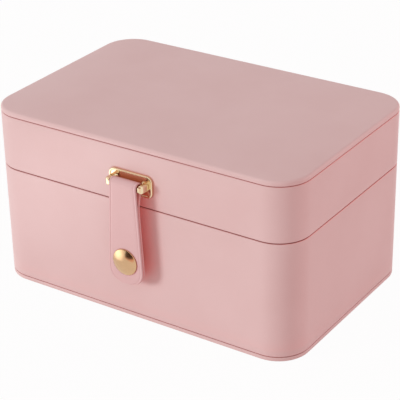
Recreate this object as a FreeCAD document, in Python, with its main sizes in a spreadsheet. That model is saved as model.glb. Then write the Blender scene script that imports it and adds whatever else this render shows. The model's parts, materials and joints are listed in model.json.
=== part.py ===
# A travel jewelry box of board wrapped in a soft leather-like sheet. The lid turns on two
# small hinges at the back, a folded strap with a snap holds the front shut, and a tray
# with ring rolls lifts out of the base.
# Millimetres. +Z is up, the front faces -Y, and the origin is the middle of the underside.

import FreeCAD
import Part
import Sketcher
import math
import os
from types import SimpleNamespace

# Driving sizes: name, value, meaning
SIZES = (
    ("BoxWidth", 190.0, "outside width of the box, left to right"),
    ("BoxDepth", 126.0, "outside depth of the box, front to back"),
    ("CornerRadius", 18.0, "radius of the four upright corners"),
    ("BottomSeam", 2.4, "height of the seam above the bottom panel"),
    ("PartLine", 68.0, "height of the base's rim, where the lid parts from it"),
    ("TopSeam", 99.2, "height of the seam under the top panel"),
    ("SeamGap", 0.1, "open width of the two glued seams"),
    ("PartGap", 0.3, "gap between the closed lid and the rim"),
    ("FitGap", 0.05, "room between pieces that are glued in place"),
    ("SkinThick", 0.6, "thickness of the wrapping sheet"),
    ("EdgeRound", 0.7, "radius of the sheet where it turns over an edge"),
    ("PanelTurn", 12.0, "width of sheet turned in behind a flat panel"),
    ("BaseBoard", 3.2, "wall board of the base"),
    ("LidBoard", 2.4, "wall board of the lid"),
    ("BaseTurn", 14.0, "depth of sheet turned into the base"),
    ("LidTurn", 7.0, "depth of sheet turned into the lid"),
    ("LinerThick", 1.6, "walls of the velvet liner"),
    ("LinerFloor", 1.6, "floor of the velvet liner"),
    ("LipRise", 4.0, "rise of the liner above the rim, which locates the lid"),
    ("LipRound", 0.7, "rounding of the liner's top edge"),
    ("LedgeThick", 2.0, "thickness of the frame that carries the tray"),
    ("TraySeat", 0.3, "room under the resting tray"),
    ("DividerThick", 2.0, "thickness of the lower dividers"),
    ("DividerGap", 0.2, "room at the ends and slots of every divider"),
    ("LowerRow", 6.0, "place of the long lower divider behind the middle"),
    ("LowerColumn", 29.0, "place of each short lower divider from the middle"),
    ("TrayDown", 24.5, "depth of the tray's underside below the rim"),
    ("TrayHeight", 20.0, "height of the tray"),
    ("TrayGap", 0.8, "room between tray and liner"),
    ("TrayWall", 1.8, "walls of the tray"),
    ("TrayFloor", 1.5, "floor of the tray"),
    ("TrayLiner", 0.9, "velvet inside the tray"),
    ("TrayRound", 0.6, "rounding of the tray's rim"),
    ("NotchRadius", 12.0, "radius of the finger notches in the tray's ends"),
    ("NotchRise", 4.0, "height of the notch centre above the tray's rim"),
    ("TrayDivider", 1.8, "thickness of the tray's dividers"),
    ("TrayDrop", 2.0, "depth of the tray's dividers below its rim"),
    ("RingSplit", -2.0, "place of the divider beside the ring rolls"),
    ("TrayColumn", 42.0, "place of the divider between the tray's columns"),
    ("TrayRow", -8.0, "place of the divider between the tray's rows"),
    ("RollCount", 7, "number of ring rolls"),
    ("RollMargin", 3.0, "room in front of and behind the rolls"),
    ("RollGap", 0.6, "gap between two rolls"),
    ("RollFlat", 1.2, "how far a roll is flattened where it rests"),
    ("RollEnd", 2.0, "room at the outer end of the rolls"),
    ("RollRound", 1.4, "rounding of a roll's ends"),
    ("TopBoard", 1.4, "board of the top panel"),
    ("PanelEdge", 3.0, "height of the top panel's edge"),
    ("PanelRound", 1.6, "radius round the top panel's edge"),
    ("CrownRise", 1.5, "rise of the padded crown above that edge"),
    ("CeilingCard", 1.2, "card that frames the mirror"),
    ("LidLiner", 1.0, "velvet walls inside the lid"),
    ("MirrorWidth", 150.0, "visible width of the mirror"),
    ("MirrorDepth", 84.0, "visible depth of the mirror"),
    ("MirrorCorner", 8.0, "corner radius of the mirror's window"),
    ("MirrorMargin", 4.0, "glass hidden behind the window's edge"),
    ("MirrorThick", 1.8, "thickness of the glass"),
    ("MirrorBacking", 0.8, "card behind the glass"),
    ("HingeSpread", 110.0, "distance between the two hinges"),
    ("LeafWidth", 18.0, "width of a hinge leaf"),
    ("LeafHeight", 10.0, "height of a leaf from the hinge axis"),
    ("LeafThick", 0.9, "thickness of a leaf"),
    ("LeafCorner", 1.5, "corner radius of a leaf"),
    ("KnuckleRadius", 1.7, "outside radius of the hinge barrel"),
    ("KnuckleGap", 0.1, "gap between knuckles"),
    ("AxisClear", 0.15, "room between the barrel and the box"),
    ("PinRadius", 0.8, "radius of the hinge pin"),
    ("PinGap", 0.05, "running fit round the pin"),
    ("LeafScrews", 10.0, "distance between a leaf's two screws"),
    ("LeafScrewRise", 6.4, "distance of those screws from the hinge axis"),
    ("ScrewHead", 1.6, "radius of a screw head"),
    ("ScrewHeadThick", 0.8, "thickness of a screw head"),
    ("ScrewShank", 0.9, "radius of a screw's shank"),
    ("ScrewGap", 0.1, "room round a screw's shank"),
    ("LeafScrewLength", 3.4, "length of a hinge screw under its head"),
    ("PlateRise", 13.0, "height of the strap plate's middle above the rim"),
    ("PlateWidth", 27.0, "width of the strap plate"),
    ("PlateTall", 12.4, "height of the strap plate"),
    ("PlateThick", 1.5, "thickness of the strap plate"),
    ("PlateCorner", 3.5, "corner radius of the strap plate"),
    ("PlateRound", 0.5, "rounding of the plate's front edge"),
    ("PlateRim", 1.1, "width of the plate's raised rim"),
    ("PlateSink", 0.35, "depth of the plate's face inside that rim"),
    ("ArmSpread", 20.8, "distance between the bridge's two arms"),
    ("ArmWidth", 3.0, "width of an arm"),
    ("ArmTall", 4.4, "height of an arm"),
    ("ArmReach", 7.6, "reach of an arm from the face of the box"),
    ("ArmLift", 0.9, "height of the arms above the plate's middle"),
    ("ArmRound", 1.6, "radius at the outer front corner of an arm"),
    ("ArmSoften", 0.4, "rounding of the other edges of an arm's end"),
    ("BarOut", 5.6, "distance of the bar's axis from the face"),
    ("BarRadius", 1.55, "radius of the bar inside the strap"),
    ("BarGap", 0.1, "running fit of the strap round the bar"),
    ("BridgeScrewDepth", 4.0, "depth of the screw holes in the bridge"),
    ("BridgeScrewShort", 0.5, "how far a bridge screw stops short of its hole"),
    ("StrapLayer", 1.35, "thickness of one layer of the folded strap"),
    ("StrapTop", 16.8, "width of the strap at the bar"),
    ("StrapWide", 22.4, "width of the strap near its end"),
    ("StrapEnd", 25.3, "height of the strap's lower end"),
    ("StrapCorner", 8.6, "corner radius of the strap's end"),
    ("StrapJoin", 13.0, "depth below the bar at which the layers meet"),
    ("SnapHeight", 38.3, "height of the snap's axis"),
    ("CapRadius", 7.5, "radius of the snap's cap"),
    ("CapRise", 2.5, "height of the cap's dome"),
    ("CapEdge", 0.7, "height of the cap's rolled edge"),
    ("CapUnder", 0.8, "width of the cap's rolled edge below"),
    ("CapPost", 1.8, "radius of the cap's post"),
    ("CapFlare", 2.3, "radius of the clinched end of the post"),
    ("FlareThick", 0.3, "thickness of that clinched end"),
    ("SnapGap", 0.15, "room round the posts in their holes"),
    ("SocketRadius", 5.2, "radius of the snap's socket"),
    ("SocketDepth", 3.2, "depth of the socket behind the strap"),
    ("SocketFloor", 0.8, "thickness of the socket's floor"),
    ("SocketBevel", 0.6, "bevel round the socket's mouth"),
    ("CavityRadius", 2.7, "radius of the socket's cavity"),
    ("StudFlange", 5.0, "radius of the stud's flange"),
    ("StudFlangeThick", 0.8, "thickness of the stud's flange"),
    ("StudNeck", 1.6, "radius of the stud's neck"),
    ("StudHead", 2.05, "radius of the stud's head"),
    ("StudHeadTall", 1.6, "height of the stud's head"),
    ("StudGap", 0.3, "room between the stud's head and the cavity's end"),
    ("RivetRadius", 1.0, "radius of the rivet that holds the stud"),
    ("RivetReach", 2.0, "depth of the rivet inside the stud"),
    ("RivetHead", 4.5, "radius of the rivet's flat head"),
    ("RivetHeadThick", 0.6, "thickness of the rivet's flat head"),
)


class Size:
    """A number together with the sheet expression that gives it."""

    def __init__(self, number, text):
        self.number = number
        self.text = text

    def __add__(self, other):
        other = as_size(other)
        return Size(self.number + other.number, f"({self.text} + {other.text})")

    def __sub__(self, other):
        other = as_size(other)
        return Size(self.number - other.number, f"({self.text} - {other.text})")

    def __mul__(self, factor):
        return Size(self.number * factor, f"({self.text} * {factor})")

    def __truediv__(self, factor):
        return Size(self.number / factor, f"({self.text} / {factor})")

    def __neg__(self):
        return Size(-self.number, f"(-1 * {self.text})")


def as_size(value):
    """Lets a bare number stand in a sum of sizes."""
    if isinstance(value, Size):
        return value
    return Size(value, str(value))


doc = FreeCAD.newDocument("travel_jewelry_box")
sheet = doc.addObject("Spreadsheet::Sheet", "Sizes")
size = SimpleNamespace()
for row, (alias, value, meaning) in enumerate(SIZES, start=1):
    sheet.set(f"A{row}", meaning)
    sheet.set(f"B{row}", str(value))
    sheet.setAlias(f"B{row}", alias)
    setattr(size, alias, Size(value, f"Sizes.{alias}"))
doc.recompute()

ZERO = Size(0, "0")
half_width = size.BoxWidth / 2
half_depth = size.BoxDepth / 2
sub_parts = []

# Insets from the outline of the box, from the outside in
base_board_in = size.SkinThick + size.BaseBoard
base_turn_in = base_board_in + size.SkinThick
liner_out = base_turn_in + size.FitGap
liner_in = liner_out + size.LinerThick
ledge_out = liner_in + size.FitGap
ledge_in = ledge_out + size.LedgeThick
tray_out = liner_in + size.TrayGap
tray_in = tray_out + size.TrayWall
tray_liner_out = tray_in + size.FitGap
tray_liner_in = tray_liner_out + size.TrayLiner
lid_board_in = size.SkinThick + size.LidBoard
lid_turn_in = lid_board_in + size.SkinThick
lid_liner_out = lid_board_in + size.FitGap
lid_liner_in = lid_liner_out + size.LidLiner

# Heights, from the underside up
wrap_low = size.BottomSeam + size.SeamGap
liner_floor = size.BottomSeam + size.LinerFloor
lip_top = size.PartLine + size.LipRise
tray_low = size.PartLine - size.TrayDown
ledge_top = tray_low - size.TraySeat
tray_top = tray_low + size.TrayHeight
tray_shell_floor = tray_low + size.TrayFloor
tray_floor = tray_shell_floor + size.TrayLiner
tray_divider_top = tray_top - size.TrayDrop
lid_low = size.PartLine + size.PartGap
hinge_height = size.PartLine + size.PartGap / 2
panel_low = size.TopSeam + size.SeamGap
top_board_low = panel_low + size.SkinThick
top_board_top = top_board_low + size.TopBoard
panel_edge_top = panel_low + size.PanelEdge
backing_low = panel_low - size.FitGap - size.MirrorBacking
mirror_low = backing_low - size.MirrorThick
ceiling_top = mirror_low - size.FitGap
ceiling_low = ceiling_top - size.CeilingCard

# Places of the hinges, the strap and the snap
hinge_axis_out = size.AxisClear + size.KnuckleRadius
plate_height = size.PartLine + size.PlateRise
bar_height = plate_height + size.ArmLift
strap_inner = size.BarRadius + size.BarGap
strap_outer = strap_inner + size.StrapLayer
strap_front = size.BarOut + strap_outer
strap_back = strap_front - size.StrapLayer * 2
cavity_end = strap_back - size.SocketFloor


def vector(x, y):
    """A point of a sketch."""
    return FreeCAD.Vector(x, y, 0)


def new_body(label, place=None, turned=False):
    """Starts a sub-part. A turned body has its own +Z pointing out of the box's front."""
    body = doc.addObject("PartDesign::Body", label)
    body.Label = label
    if turned:
        body.Placement = FreeCAD.Placement(vector(0, 0), FreeCAD.Rotation(FreeCAD.Vector(1, 0, 0), 90))
    for axis, distance in zip("xyz", place or ()):
        body.setExpression(f"Placement.Base.{axis}", distance.text)
    sub_parts.append(body)
    return body


def origin_feature(body, role):
    """A plane or an axis of the body's own origin."""
    return next(item for item in body.Origin.OriginFeatures if item.Role == role)


def new_sketch(body, plane="XY_Plane", offset=ZERO):
    """A sketch on one of the body's own planes, moved along that plane's normal."""
    sketch = body.newObject("Sketcher::SketchObject", "Sketch")
    sketch.AttachmentSupport = [(origin_feature(body, plane), "")]
    sketch.MapMode = "FlatFace"
    sketch.setExpression("AttachmentOffset.Base.z", offset.text)
    return sketch


def constrain(sketch, kind, *items):
    """Adds one geometric constraint."""
    return sketch.addConstraint(Sketcher.Constraint(kind, *items))


def dimension(sketch, kind, *items):
    """Adds one dimension whose value, the last item, is read from the sheet."""
    value = items[-1]
    index = sketch.addConstraint(Sketcher.Constraint(kind, *items[:-1], value.number))
    sketch.setExpression(f"Constraints[{index}]", value.text)


def place_point(sketch, item, end, x, y):
    """Holds a point of the sketch at x, y; a zero puts it on that axis."""
    for kind, axis, distance in (("DistanceX", -2, x), ("DistanceY", -1, y)):
        if distance is ZERO:
            constrain(sketch, "PointOnObject", item, end, axis)
        else:
            dimension(sketch, kind, -1, 1, item, end, distance)


def circle(sketch, x, y, radius):
    """A circle with its centre at x, y."""
    shape = Part.Circle(vector(x.number, y.number), FreeCAD.Vector(0, 0, 1), radius.number)
    item = sketch.addGeometry(shape)
    place_point(sketch, item, 3, x, y)
    dimension(sketch, "Radius", item, radius)


def arc(sketch, x, y, radius, start, stop):
    """An arc by centre, radius and two angles in degrees, as a free shape to constrain."""
    shape = Part.Circle(vector(x, y), FreeCAD.Vector(0, 0, 1), radius)
    return sketch.addGeometry(Part.ArcOfCircle(shape, math.radians(start), math.radians(stop)))


def line(sketch, start, stop):
    """A straight line between two pairs of numbers, as a free shape to constrain."""
    return sketch.addGeometry(Part.LineSegment(vector(*start), vector(*stop)))


def polygon(sketch, points, domed=()):
    """A closed outline through the points. The sides named in domed are arcs that are
    centred on the sketch's upright axis, which suits turned pieces."""
    numbers = [(x.number, y.number) for x, y in points]
    count = len(points)
    sides = []
    for index, here in enumerate(numbers):
        there = numbers[(index + 1) % count]
        if index in domed:
            drop = here[1] - there[1]
            radius = (there[0] ** 2 + drop ** 2) / (2 * drop)
            centre = here[1] - radius
            lean = math.degrees(math.asin(there[0] / radius))
            sides.append(arc(sketch, 0, centre, radius, 90 - lean, 90))
            constrain(sketch, "PointOnObject", sides[-1], 3, -2)
        else:
            sides.append(line(sketch, here, there))
    for index, (x, y) in enumerate(points):
        before = (index - 1) % count
        own_end = 2 if index in domed else 1
        other_end = 1 if before in domed else 2
        constrain(sketch, "Coincident", sides[before], other_end, sides[index], own_end)
        place_point(sketch, sides[index], own_end, x, y)


def rectangle(sketch, left, right, low, high):
    """An upright rectangle by the places of its four sides."""
    polygon(sketch, ((left, low), (right, low), (right, high), (left, high)))


def rounded_rectangle(sketch, left, right, low, high, radius):
    """A rectangle with four equal round corners, by the places of its sides."""
    x0, x1, y0, y1 = left.number, right.number, low.number, high.number
    r = radius.number
    lines = (
        line(sketch, (x0 + r, y0), (x1 - r, y0)),
        line(sketch, (x1, y0 + r), (x1, y1 - r)),
        line(sketch, (x1 - r, y1), (x0 + r, y1)),
        line(sketch, (x0, y1 - r), (x0, y0 + r)),
    )
    corners = (
        arc(sketch, x1 - r, y0 + r, r, -90, 0),
        arc(sketch, x1 - r, y1 - r, r, 0, 90),
        arc(sketch, x0 + r, y1 - r, r, 90, 180),
        arc(sketch, x0 + r, y0 + r, r, 180, 270),
    )
    for index in range(4):
        constrain(sketch, "Tangent", lines[index], 2, corners[index], 1)
        constrain(sketch, "Tangent", corners[index], 2, lines[(index + 1) % 4], 1)
    constrain(sketch, "Horizontal", lines[0])
    constrain(sketch, "Horizontal", lines[2])
    constrain(sketch, "Vertical", lines[1])
    constrain(sketch, "Vertical", lines[3])
    for other in corners[1:]:
        constrain(sketch, "Equal", corners[0], other)
    dimension(sketch, "Radius", corners[0], radius)
    dimension(sketch, "DistanceX", -1, 1, lines[3], 1, left)
    dimension(sketch, "DistanceX", -1, 1, lines[1], 1, right)
    dimension(sketch, "DistanceY", -1, 1, lines[0], 1, low)
    dimension(sketch, "DistanceY", -1, 1, lines[2], 1, high)


def centred_rectangle(sketch, width, depth, radius):
    """A round-cornered rectangle about the sketch's origin."""
    rounded_rectangle(sketch, -width / 2, width / 2, -depth / 2, depth / 2, radius)


def footprint(sketch, inset, radius=None):
    """The outline of the box, moved inwards."""
    corner = radius or size.CornerRadius - inset
    centred_rectangle(sketch, size.BoxWidth - inset * 2, size.BoxDepth - inset * 2, corner)


def pad(body, sketch, length, reverse=False, both=False):
    """Adds material along the sketch's normal, against it, or half each way."""
    feature = body.newObject("PartDesign::Pad", "Pad")
    feature.Profile = sketch
    feature.setExpression("Length", length.text)
    feature.Reversed = reverse
    if both:
        feature.SideType = "Symmetric"
    return feature


def pocket(body, sketch, length, reverse=False, both=False):
    """Cuts against the sketch's normal, along it when reversed, or half each way."""
    feature = body.newObject("PartDesign::Pocket", "Pocket")
    feature.Profile = sketch
    feature.setExpression("Length", length.text)
    feature.Reversed = reverse
    if both:
        feature.SideType = "Symmetric"
    return feature


def slab(body, low, high, inset, hole=None):
    """A level plate of the box's outline between two heights, or a ring with a hole."""
    sketch = new_sketch(body, offset=low)
    footprint(sketch, inset)
    if hole is not None:
        footprint(sketch, hole)
    return pad(body, sketch, high - low)


def hollow(body, low, high, inset):
    """Cuts the box's outline out of the body between two heights."""
    sketch = new_sketch(body, offset=high)
    footprint(sketch, inset)
    return pocket(body, sketch, high - low)


def revolve(body, points, domed=()):
    """Turns a profile of radius and height about the body's own Z axis."""
    sketch = new_sketch(body, "XZ_Plane")
    polygon(sketch, points, domed)
    feature = body.newObject("PartDesign::Revolution", "Revolution")
    feature.Profile = sketch
    feature.ReferenceAxis = (sketch, ["V_Axis"])
    feature.Angle = 360
    return feature


def round_edges(body, radius, chosen):
    """Rounds the edges of the body for which chosen answers yes."""
    doc.recompute()
    base = body.Tip
    names = [f"Edge{index}" for index, edge in enumerate(base.Shape.Edges, 1) if chosen(edge)]
    if not names:
        raise RuntimeError(f"{body.Label}: no edge to round")
    feature = body.newObject("PartDesign::Fillet", "Fillet")
    feature.Base = (base, names)
    feature.setExpression("Radius", radius.text)
    return feature


def middle_of(edge):
    """The point halfway along an edge."""
    return edge.valueAt((edge.FirstParameter + edge.LastParameter) / 2)


def level_edges(height):
    """Chooses the edges that lie at one height of the body's own frame."""

    def chosen(edge):
        return edge.BoundBox.ZLength < 0.001 and abs(middle_of(edge).z - height.number) < 0.01

    return chosen


def inset_of(point):
    """How far a point lies inside the outline of the box, seen from above."""
    radius = size.CornerRadius.number
    across = abs(point.x) - half_width.number + radius
    along = abs(point.y) - half_depth.number + radius
    outside = math.hypot(max(across, 0), max(along, 0)) + min(max(across, along), 0)
    return radius - outside


def outline_edges(height, inset):
    """Chooses the edges of the outline that lie at one height and one inset."""
    level = level_edges(height)
    return lambda edge: level(edge) and abs(inset_of(middle_of(edge)) - inset.number) < 0.01


def wall_holes(body, spots, radius, wall, front):
    """Drills the front or the back wall, and only that wall, at each x, z."""
    plane_out = half_depth - wall / 2
    sketch = new_sketch(body, "XZ_Plane", plane_out if front else -plane_out)
    for x, z in spots:
        circle(sketch, x, z, radius)
    return pocket(body, sketch, wall + 1, both=True)


# Screw and rivet places, shared by every piece that they pass through
def leaf_screw_spots(x, height):
    """The two screws of one hinge leaf."""
    reach = size.LeafScrews / 2
    return ((x - reach, height), (x + reach, height))


hinge_places = {"left": -size.HingeSpread / 2, "right": size.HingeSpread / 2}
base_screw_height = hinge_height - size.LeafScrewRise
lid_screw_height = hinge_height + size.LeafScrewRise
base_screw_spots = [
    spot for x in hinge_places.values() for spot in leaf_screw_spots(x, base_screw_height)
]
lid_screw_spots = [
    spot for x in hinge_places.values() for spot in leaf_screw_spots(x, lid_screw_height)
]
bridge_spots = [(-size.ArmSpread / 2, bar_height), (size.ArmSpread / 2, bar_height)]
snap_spots = [(ZERO, size.SnapHeight)]
screw_hole = size.ScrewShank + size.ScrewGap
rivet_hole = size.RivetRadius + size.ScrewGap


# Bottom panel
def bottom_cover():
    """Sheet wrapped round the bottom board and turned in over its upper side."""
    body = new_body("bottom_cover")
    slab(body, ZERO, size.BottomSeam, ZERO)
    round_edges(body, size.EdgeRound, outline_edges(ZERO, ZERO))
    round_edges(body, size.EdgeRound, outline_edges(size.BottomSeam, ZERO))
    hollow(body, size.SkinThick, size.BottomSeam - size.SkinThick, size.SkinThick)
    hollow(body, size.BottomSeam - size.SkinThick * 2, size.BottomSeam, size.PanelTurn)


def bottom_board():
    """The stiff board inside the bottom panel."""
    body = new_body("bottom_board")
    slab(body, size.SkinThick, size.BottomSeam - size.SkinThick, size.SkinThick + size.FitGap)


# Walls of the base
def base_wall_board():
    """The four walls of the base, bent from one board."""
    body = new_body("base_wall_board")
    low = wrap_low + size.SkinThick
    high = size.PartLine - size.SkinThick
    slab(body, low, high, size.SkinThick, hole=base_board_in)
    wall_holes(body, base_screw_spots, screw_hole, base_board_in, front=False)
    wall_holes(body, snap_spots, rivet_hole, base_board_in, front=True)


def base_wrap():
    """Sheet over the outside of the walls, turned over the rim and under the foot."""
    body = new_body("base_wrap")
    slab(body, wrap_low, size.PartLine, ZERO, hole=size.SkinThick)
    slab(body, size.PartLine - size.SkinThick, size.PartLine, ZERO, hole=base_turn_in)
    slab(body, size.PartLine - size.BaseTurn, size.PartLine, base_board_in, hole=base_turn_in)
    slab(body, wrap_low, wrap_low + size.SkinThick, ZERO, hole=base_board_in)
    round_edges(body, size.EdgeRound, outline_edges(size.PartLine, ZERO))
    round_edges(body, size.EdgeRound, outline_edges(wrap_low, ZERO))
    wall_holes(body, base_screw_spots, screw_hole, size.SkinThick, front=False)
    wall_holes(body, snap_spots, rivet_hole, size.SkinThick, front=True)


# Inside of the base
def base_lining():
    """Velvet-covered liner with a floor. Its walls stand above the rim as a lip."""
    body = new_body("base_lining")
    slab(body, size.BottomSeam, lip_top, liner_out)
    hollow(body, liner_floor, lip_top, liner_in)
    round_edges(body, size.LipRound, outline_edges(lip_top, liner_out))
    round_edges(body, size.LipRound, outline_edges(lip_top, liner_in))


def tray_ledge():
    """Frame that stands on the liner's floor and carries the tray."""
    body = new_body("tray_ledge")
    slab(body, liner_floor, ledge_top, ledge_out, hole=ledge_in)


def upright_plate(body, along_x, middle, start, stop, low, high, thick):
    """A divider: a plate on edge along X or along Y."""
    sketch = new_sketch(body, offset=low)
    if along_x:
        rectangle(sketch, start, stop, middle - thick / 2, middle + thick / 2)
    else:
        rectangle(sketch, middle - thick / 2, middle + thick / 2, start, stop)
    pad(body, sketch, high - low)


def cross_slot(body, x, y, low, high, thick, along_x):
    """A slot half the height of a divider, for the divider that crosses it."""
    sketch = new_sketch(body, offset=high)
    wide = thick / 2 + size.DividerGap / 2
    deep = thick / 2 + 1
    if along_x:
        rectangle(sketch, x - wide, x + wide, y - deep, y + deep)
    else:
        rectangle(sketch, x - deep, x + deep, y - wide, y + wide)
    pocket(body, sketch, high - low)


def lower_dividers():
    """One long and two short plates, slotted into each other like an egg crate."""
    half_height = liner_floor + (ledge_top - liner_floor) / 2
    end_x = half_width - ledge_in - size.DividerGap
    end_y = half_depth - ledge_in - size.DividerGap
    columns = {"left": -size.LowerColumn, "right": size.LowerColumn}
    long_one = new_body("lower_divider_long")
    upright_plate(long_one, True, size.LowerRow, -end_x, end_x,
                  liner_floor, ledge_top, size.DividerThick)
    for column in columns.values():
        cross_slot(long_one, column, size.LowerRow, half_height - size.DividerGap / 2,
                   ledge_top, size.DividerThick, along_x=True)
    for side, column in columns.items():
        short_one = new_body(f"lower_divider_{side}")
        upright_plate(short_one, False, column, -end_y, end_y,
                      liner_floor, ledge_top, size.DividerThick)
        cross_slot(short_one, column, size.LowerRow, liner_floor,
                   half_height + size.DividerGap / 2, size.DividerThick, along_x=False)


# Tray
def finger_notches(body):
    """Round scoops in both end walls, by which the tray is lifted."""
    sketch = new_sketch(body, "YZ_Plane")
    circle(sketch, ZERO, tray_top + size.NotchRise, size.NotchRadius)
    pocket(body, sketch, size.BoxWidth, both=True)


def tray_shell():
    """Open box with a floor and four walls."""
    body = new_body("tray_shell")
    slab(body, tray_low, tray_top, tray_out)
    hollow(body, tray_shell_floor, tray_top, tray_in)
    round_edges(body, size.TrayRound, outline_edges(tray_top, tray_out))
    round_edges(body, size.TrayRound, outline_edges(tray_top, tray_in))
    finger_notches(body)


def tray_lining():
    """Velvet over the inside of the tray."""
    body = new_body("tray_lining")
    high = tray_top - size.TrayRound
    slab(body, tray_shell_floor, high, tray_liner_out)
    hollow(body, tray_floor, high, tray_liner_in)
    finger_notches(body)


def tray_dividers():
    """One plate beside the ring rolls, and two that cross in the other half."""
    thick = size.TrayDivider
    half_height = tray_floor + (tray_divider_top - tray_floor) / 2
    end_x = half_width - tray_liner_in - size.DividerGap
    end_y = half_depth - tray_liner_in - size.DividerGap
    beside_rolls = new_body("tray_divider_main")
    upright_plate(beside_rolls, False, size.RingSplit, -end_y, end_y,
                  tray_floor, tray_divider_top, thick)
    column = new_body("tray_divider_column")
    upright_plate(column, False, size.TrayColumn, -end_y, end_y,
                  tray_floor, tray_divider_top, thick)
    cross_slot(column, size.TrayColumn, size.TrayRow, half_height - size.DividerGap / 2,
               tray_divider_top, thick, along_x=False)
    crossing = new_body("tray_divider_row")
    start = size.RingSplit + thick / 2 + size.DividerGap
    upright_plate(crossing, True, size.TrayRow, start, end_x, tray_floor, tray_divider_top, thick)
    cross_slot(crossing, size.TrayColumn, size.TrayRow, tray_floor,
               half_height + size.DividerGap / 2, thick, along_x=True)


def ring_rolls():
    """Padded rolls with a flat foot; rings are pushed into the gaps between them."""
    count = int(size.RollCount.number)
    left = -half_width + tray_liner_in + size.RollEnd
    right = size.RingSplit - size.TrayDivider / 2 - size.DividerGap
    front = -half_depth + tray_liner_in + size.RollMargin
    pitch = (size.BoxDepth - tray_liner_in * 2 - size.RollMargin * 2) / count
    radius = pitch / 2 - size.RollGap / 2
    rise = radius - size.RollFlat
    for index in range(count):
        body = new_body(f"ring_roll_{index + 1}", (left, front + pitch * (index + 0.5), tray_floor))
        sketch = new_sketch(body, "YZ_Plane")
        lean = math.degrees(math.asin(rise.number / radius.number))
        foot = math.sqrt(radius.number ** 2 - rise.number ** 2)
        round_side = arc(sketch, 0, rise.number, radius.number, -lean, 180 + lean)
        flat_foot = line(sketch, (-foot, 0), (foot, 0))
        constrain(sketch, "Coincident", round_side, 2, flat_foot, 1)
        constrain(sketch, "Coincident", flat_foot, 2, round_side, 1)
        constrain(sketch, "PointOnObject", flat_foot, 1, -1)
        constrain(sketch, "PointOnObject", flat_foot, 2, -1)
        place_point(sketch, round_side, 3, ZERO, rise)
        dimension(sketch, "Radius", round_side, radius)
        pad(body, sketch, right - left)
        round_edges(body, size.RollRound, lambda edge: edge.BoundBox.XLength < 0.001)


# Walls and lining of the lid
def lid_wall_board():
    """The four walls of the lid, with sunk places for the bridge's screws."""
    body = new_body("lid_wall_board")
    low = lid_low + size.SkinThick
    high = size.TopSeam - size.SkinThick
    slab(body, low, high, size.SkinThick, hole=lid_board_in)
    wall_holes(body, lid_screw_spots, screw_hole, lid_board_in, front=False)
    wall_holes(body, bridge_spots, screw_hole, lid_board_in, front=True)
    sunk = new_sketch(body, "XZ_Plane", half_depth - lid_board_in)
    for x, z in bridge_spots:
        circle(sunk, x, z, size.ScrewHead + size.ScrewGap)
    pocket(body, sunk, (size.ScrewHeadThick + size.ScrewGap) * 2, both=True)


def lid_wrap():
    """Sheet over the lid's walls, turned in at the lower edge and over the top edge."""
    body = new_body("lid_wrap")
    slab(body, lid_low, size.TopSeam, ZERO, hole=size.SkinThick)
    slab(body, lid_low, lid_low + size.SkinThick, ZERO, hole=lid_turn_in)
    slab(body, lid_low, lid_low + size.LidTurn, lid_board_in, hole=lid_turn_in)
    slab(body, size.TopSeam - size.SkinThick, size.TopSeam, ZERO, hole=lid_board_in)
    round_edges(body, size.EdgeRound, outline_edges(lid_low, ZERO))
    round_edges(body, size.EdgeRound, outline_edges(size.TopSeam, ZERO))
    wall_holes(body, lid_screw_spots, screw_hole, size.SkinThick, front=False)
    wall_holes(body, bridge_spots, screw_hole, size.SkinThick, front=True)


def lid_lining():
    """Velvet walls and a card ceiling with the mirror's window."""
    body = new_body("lid_lining")
    low = lid_low + size.LidTurn + size.FitGap
    slab(body, low, ceiling_top, lid_liner_out)
    hollow(body, low - 1, ceiling_low, lid_liner_in)
    window = new_sketch(body, offset=ceiling_top)
    centred_rectangle(window, size.MirrorWidth, size.MirrorDepth, size.MirrorCorner)
    pocket(body, window, size.CeilingCard * 2)


def mirror_pieces():
    """The glass above the ceiling's window, and the card that backs it."""
    glass = new_body("mirror_glass")
    sketch = new_sketch(glass, offset=mirror_low)
    margin = size.MirrorMargin * 2
    centred_rectangle(sketch, size.MirrorWidth + margin, size.MirrorDepth + margin,
                      size.MirrorCorner + size.MirrorMargin)
    pad(glass, sketch, size.MirrorThick)
    backing = new_body("mirror_backing")
    slab(backing, backing_low, backing_low + size.MirrorBacking, lid_liner_out)


# Top panel
def crown_sections(inset_more, lower):
    """Inset, height above the panel's edge and corner radius of each level of the crown."""
    steps = ((size.PanelRound, ZERO), (size.PanelRound * 4, size.CrownRise * 0.45),
             (size.PanelRound * 11, size.CrownRise * 0.82), (size.PanelRound * 23, size.CrownRise))
    corner = size.CornerRadius - size.PanelRound - inset_more
    return [(step + inset_more, panel_edge_top + rise - lower, corner) for step, rise in steps]


def crown(body, kind, inset_more, lower):
    """Lofts the padded crown through its levels, as added or as cut material."""
    sketches = []
    for inset, height, corner in crown_sections(inset_more, lower):
        sketch = new_sketch(body, offset=height)
        footprint(sketch, inset, corner)
        sketches.append(sketch)
    feature = body.newObject(kind, "Crown")
    feature.Profile = sketches[0]
    feature.Sections = sketches[1:]
    return feature


def lid_top_board():
    """The stiff board of the top panel."""
    body = new_body("lid_top_board")
    slab(body, top_board_low, top_board_top, size.SkinThick + size.FitGap)


def lid_top_foam():
    """Thin foam on the board, which gives the top its soft crown."""
    body = new_body("lid_top_foam")
    under_sheet = size.SkinThick + size.FitGap
    slab(body, top_board_top, panel_edge_top - under_sheet, size.PanelRound + size.FitGap)
    crown(body, "PartDesign::AdditiveLoft", size.FitGap, under_sheet)


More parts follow.
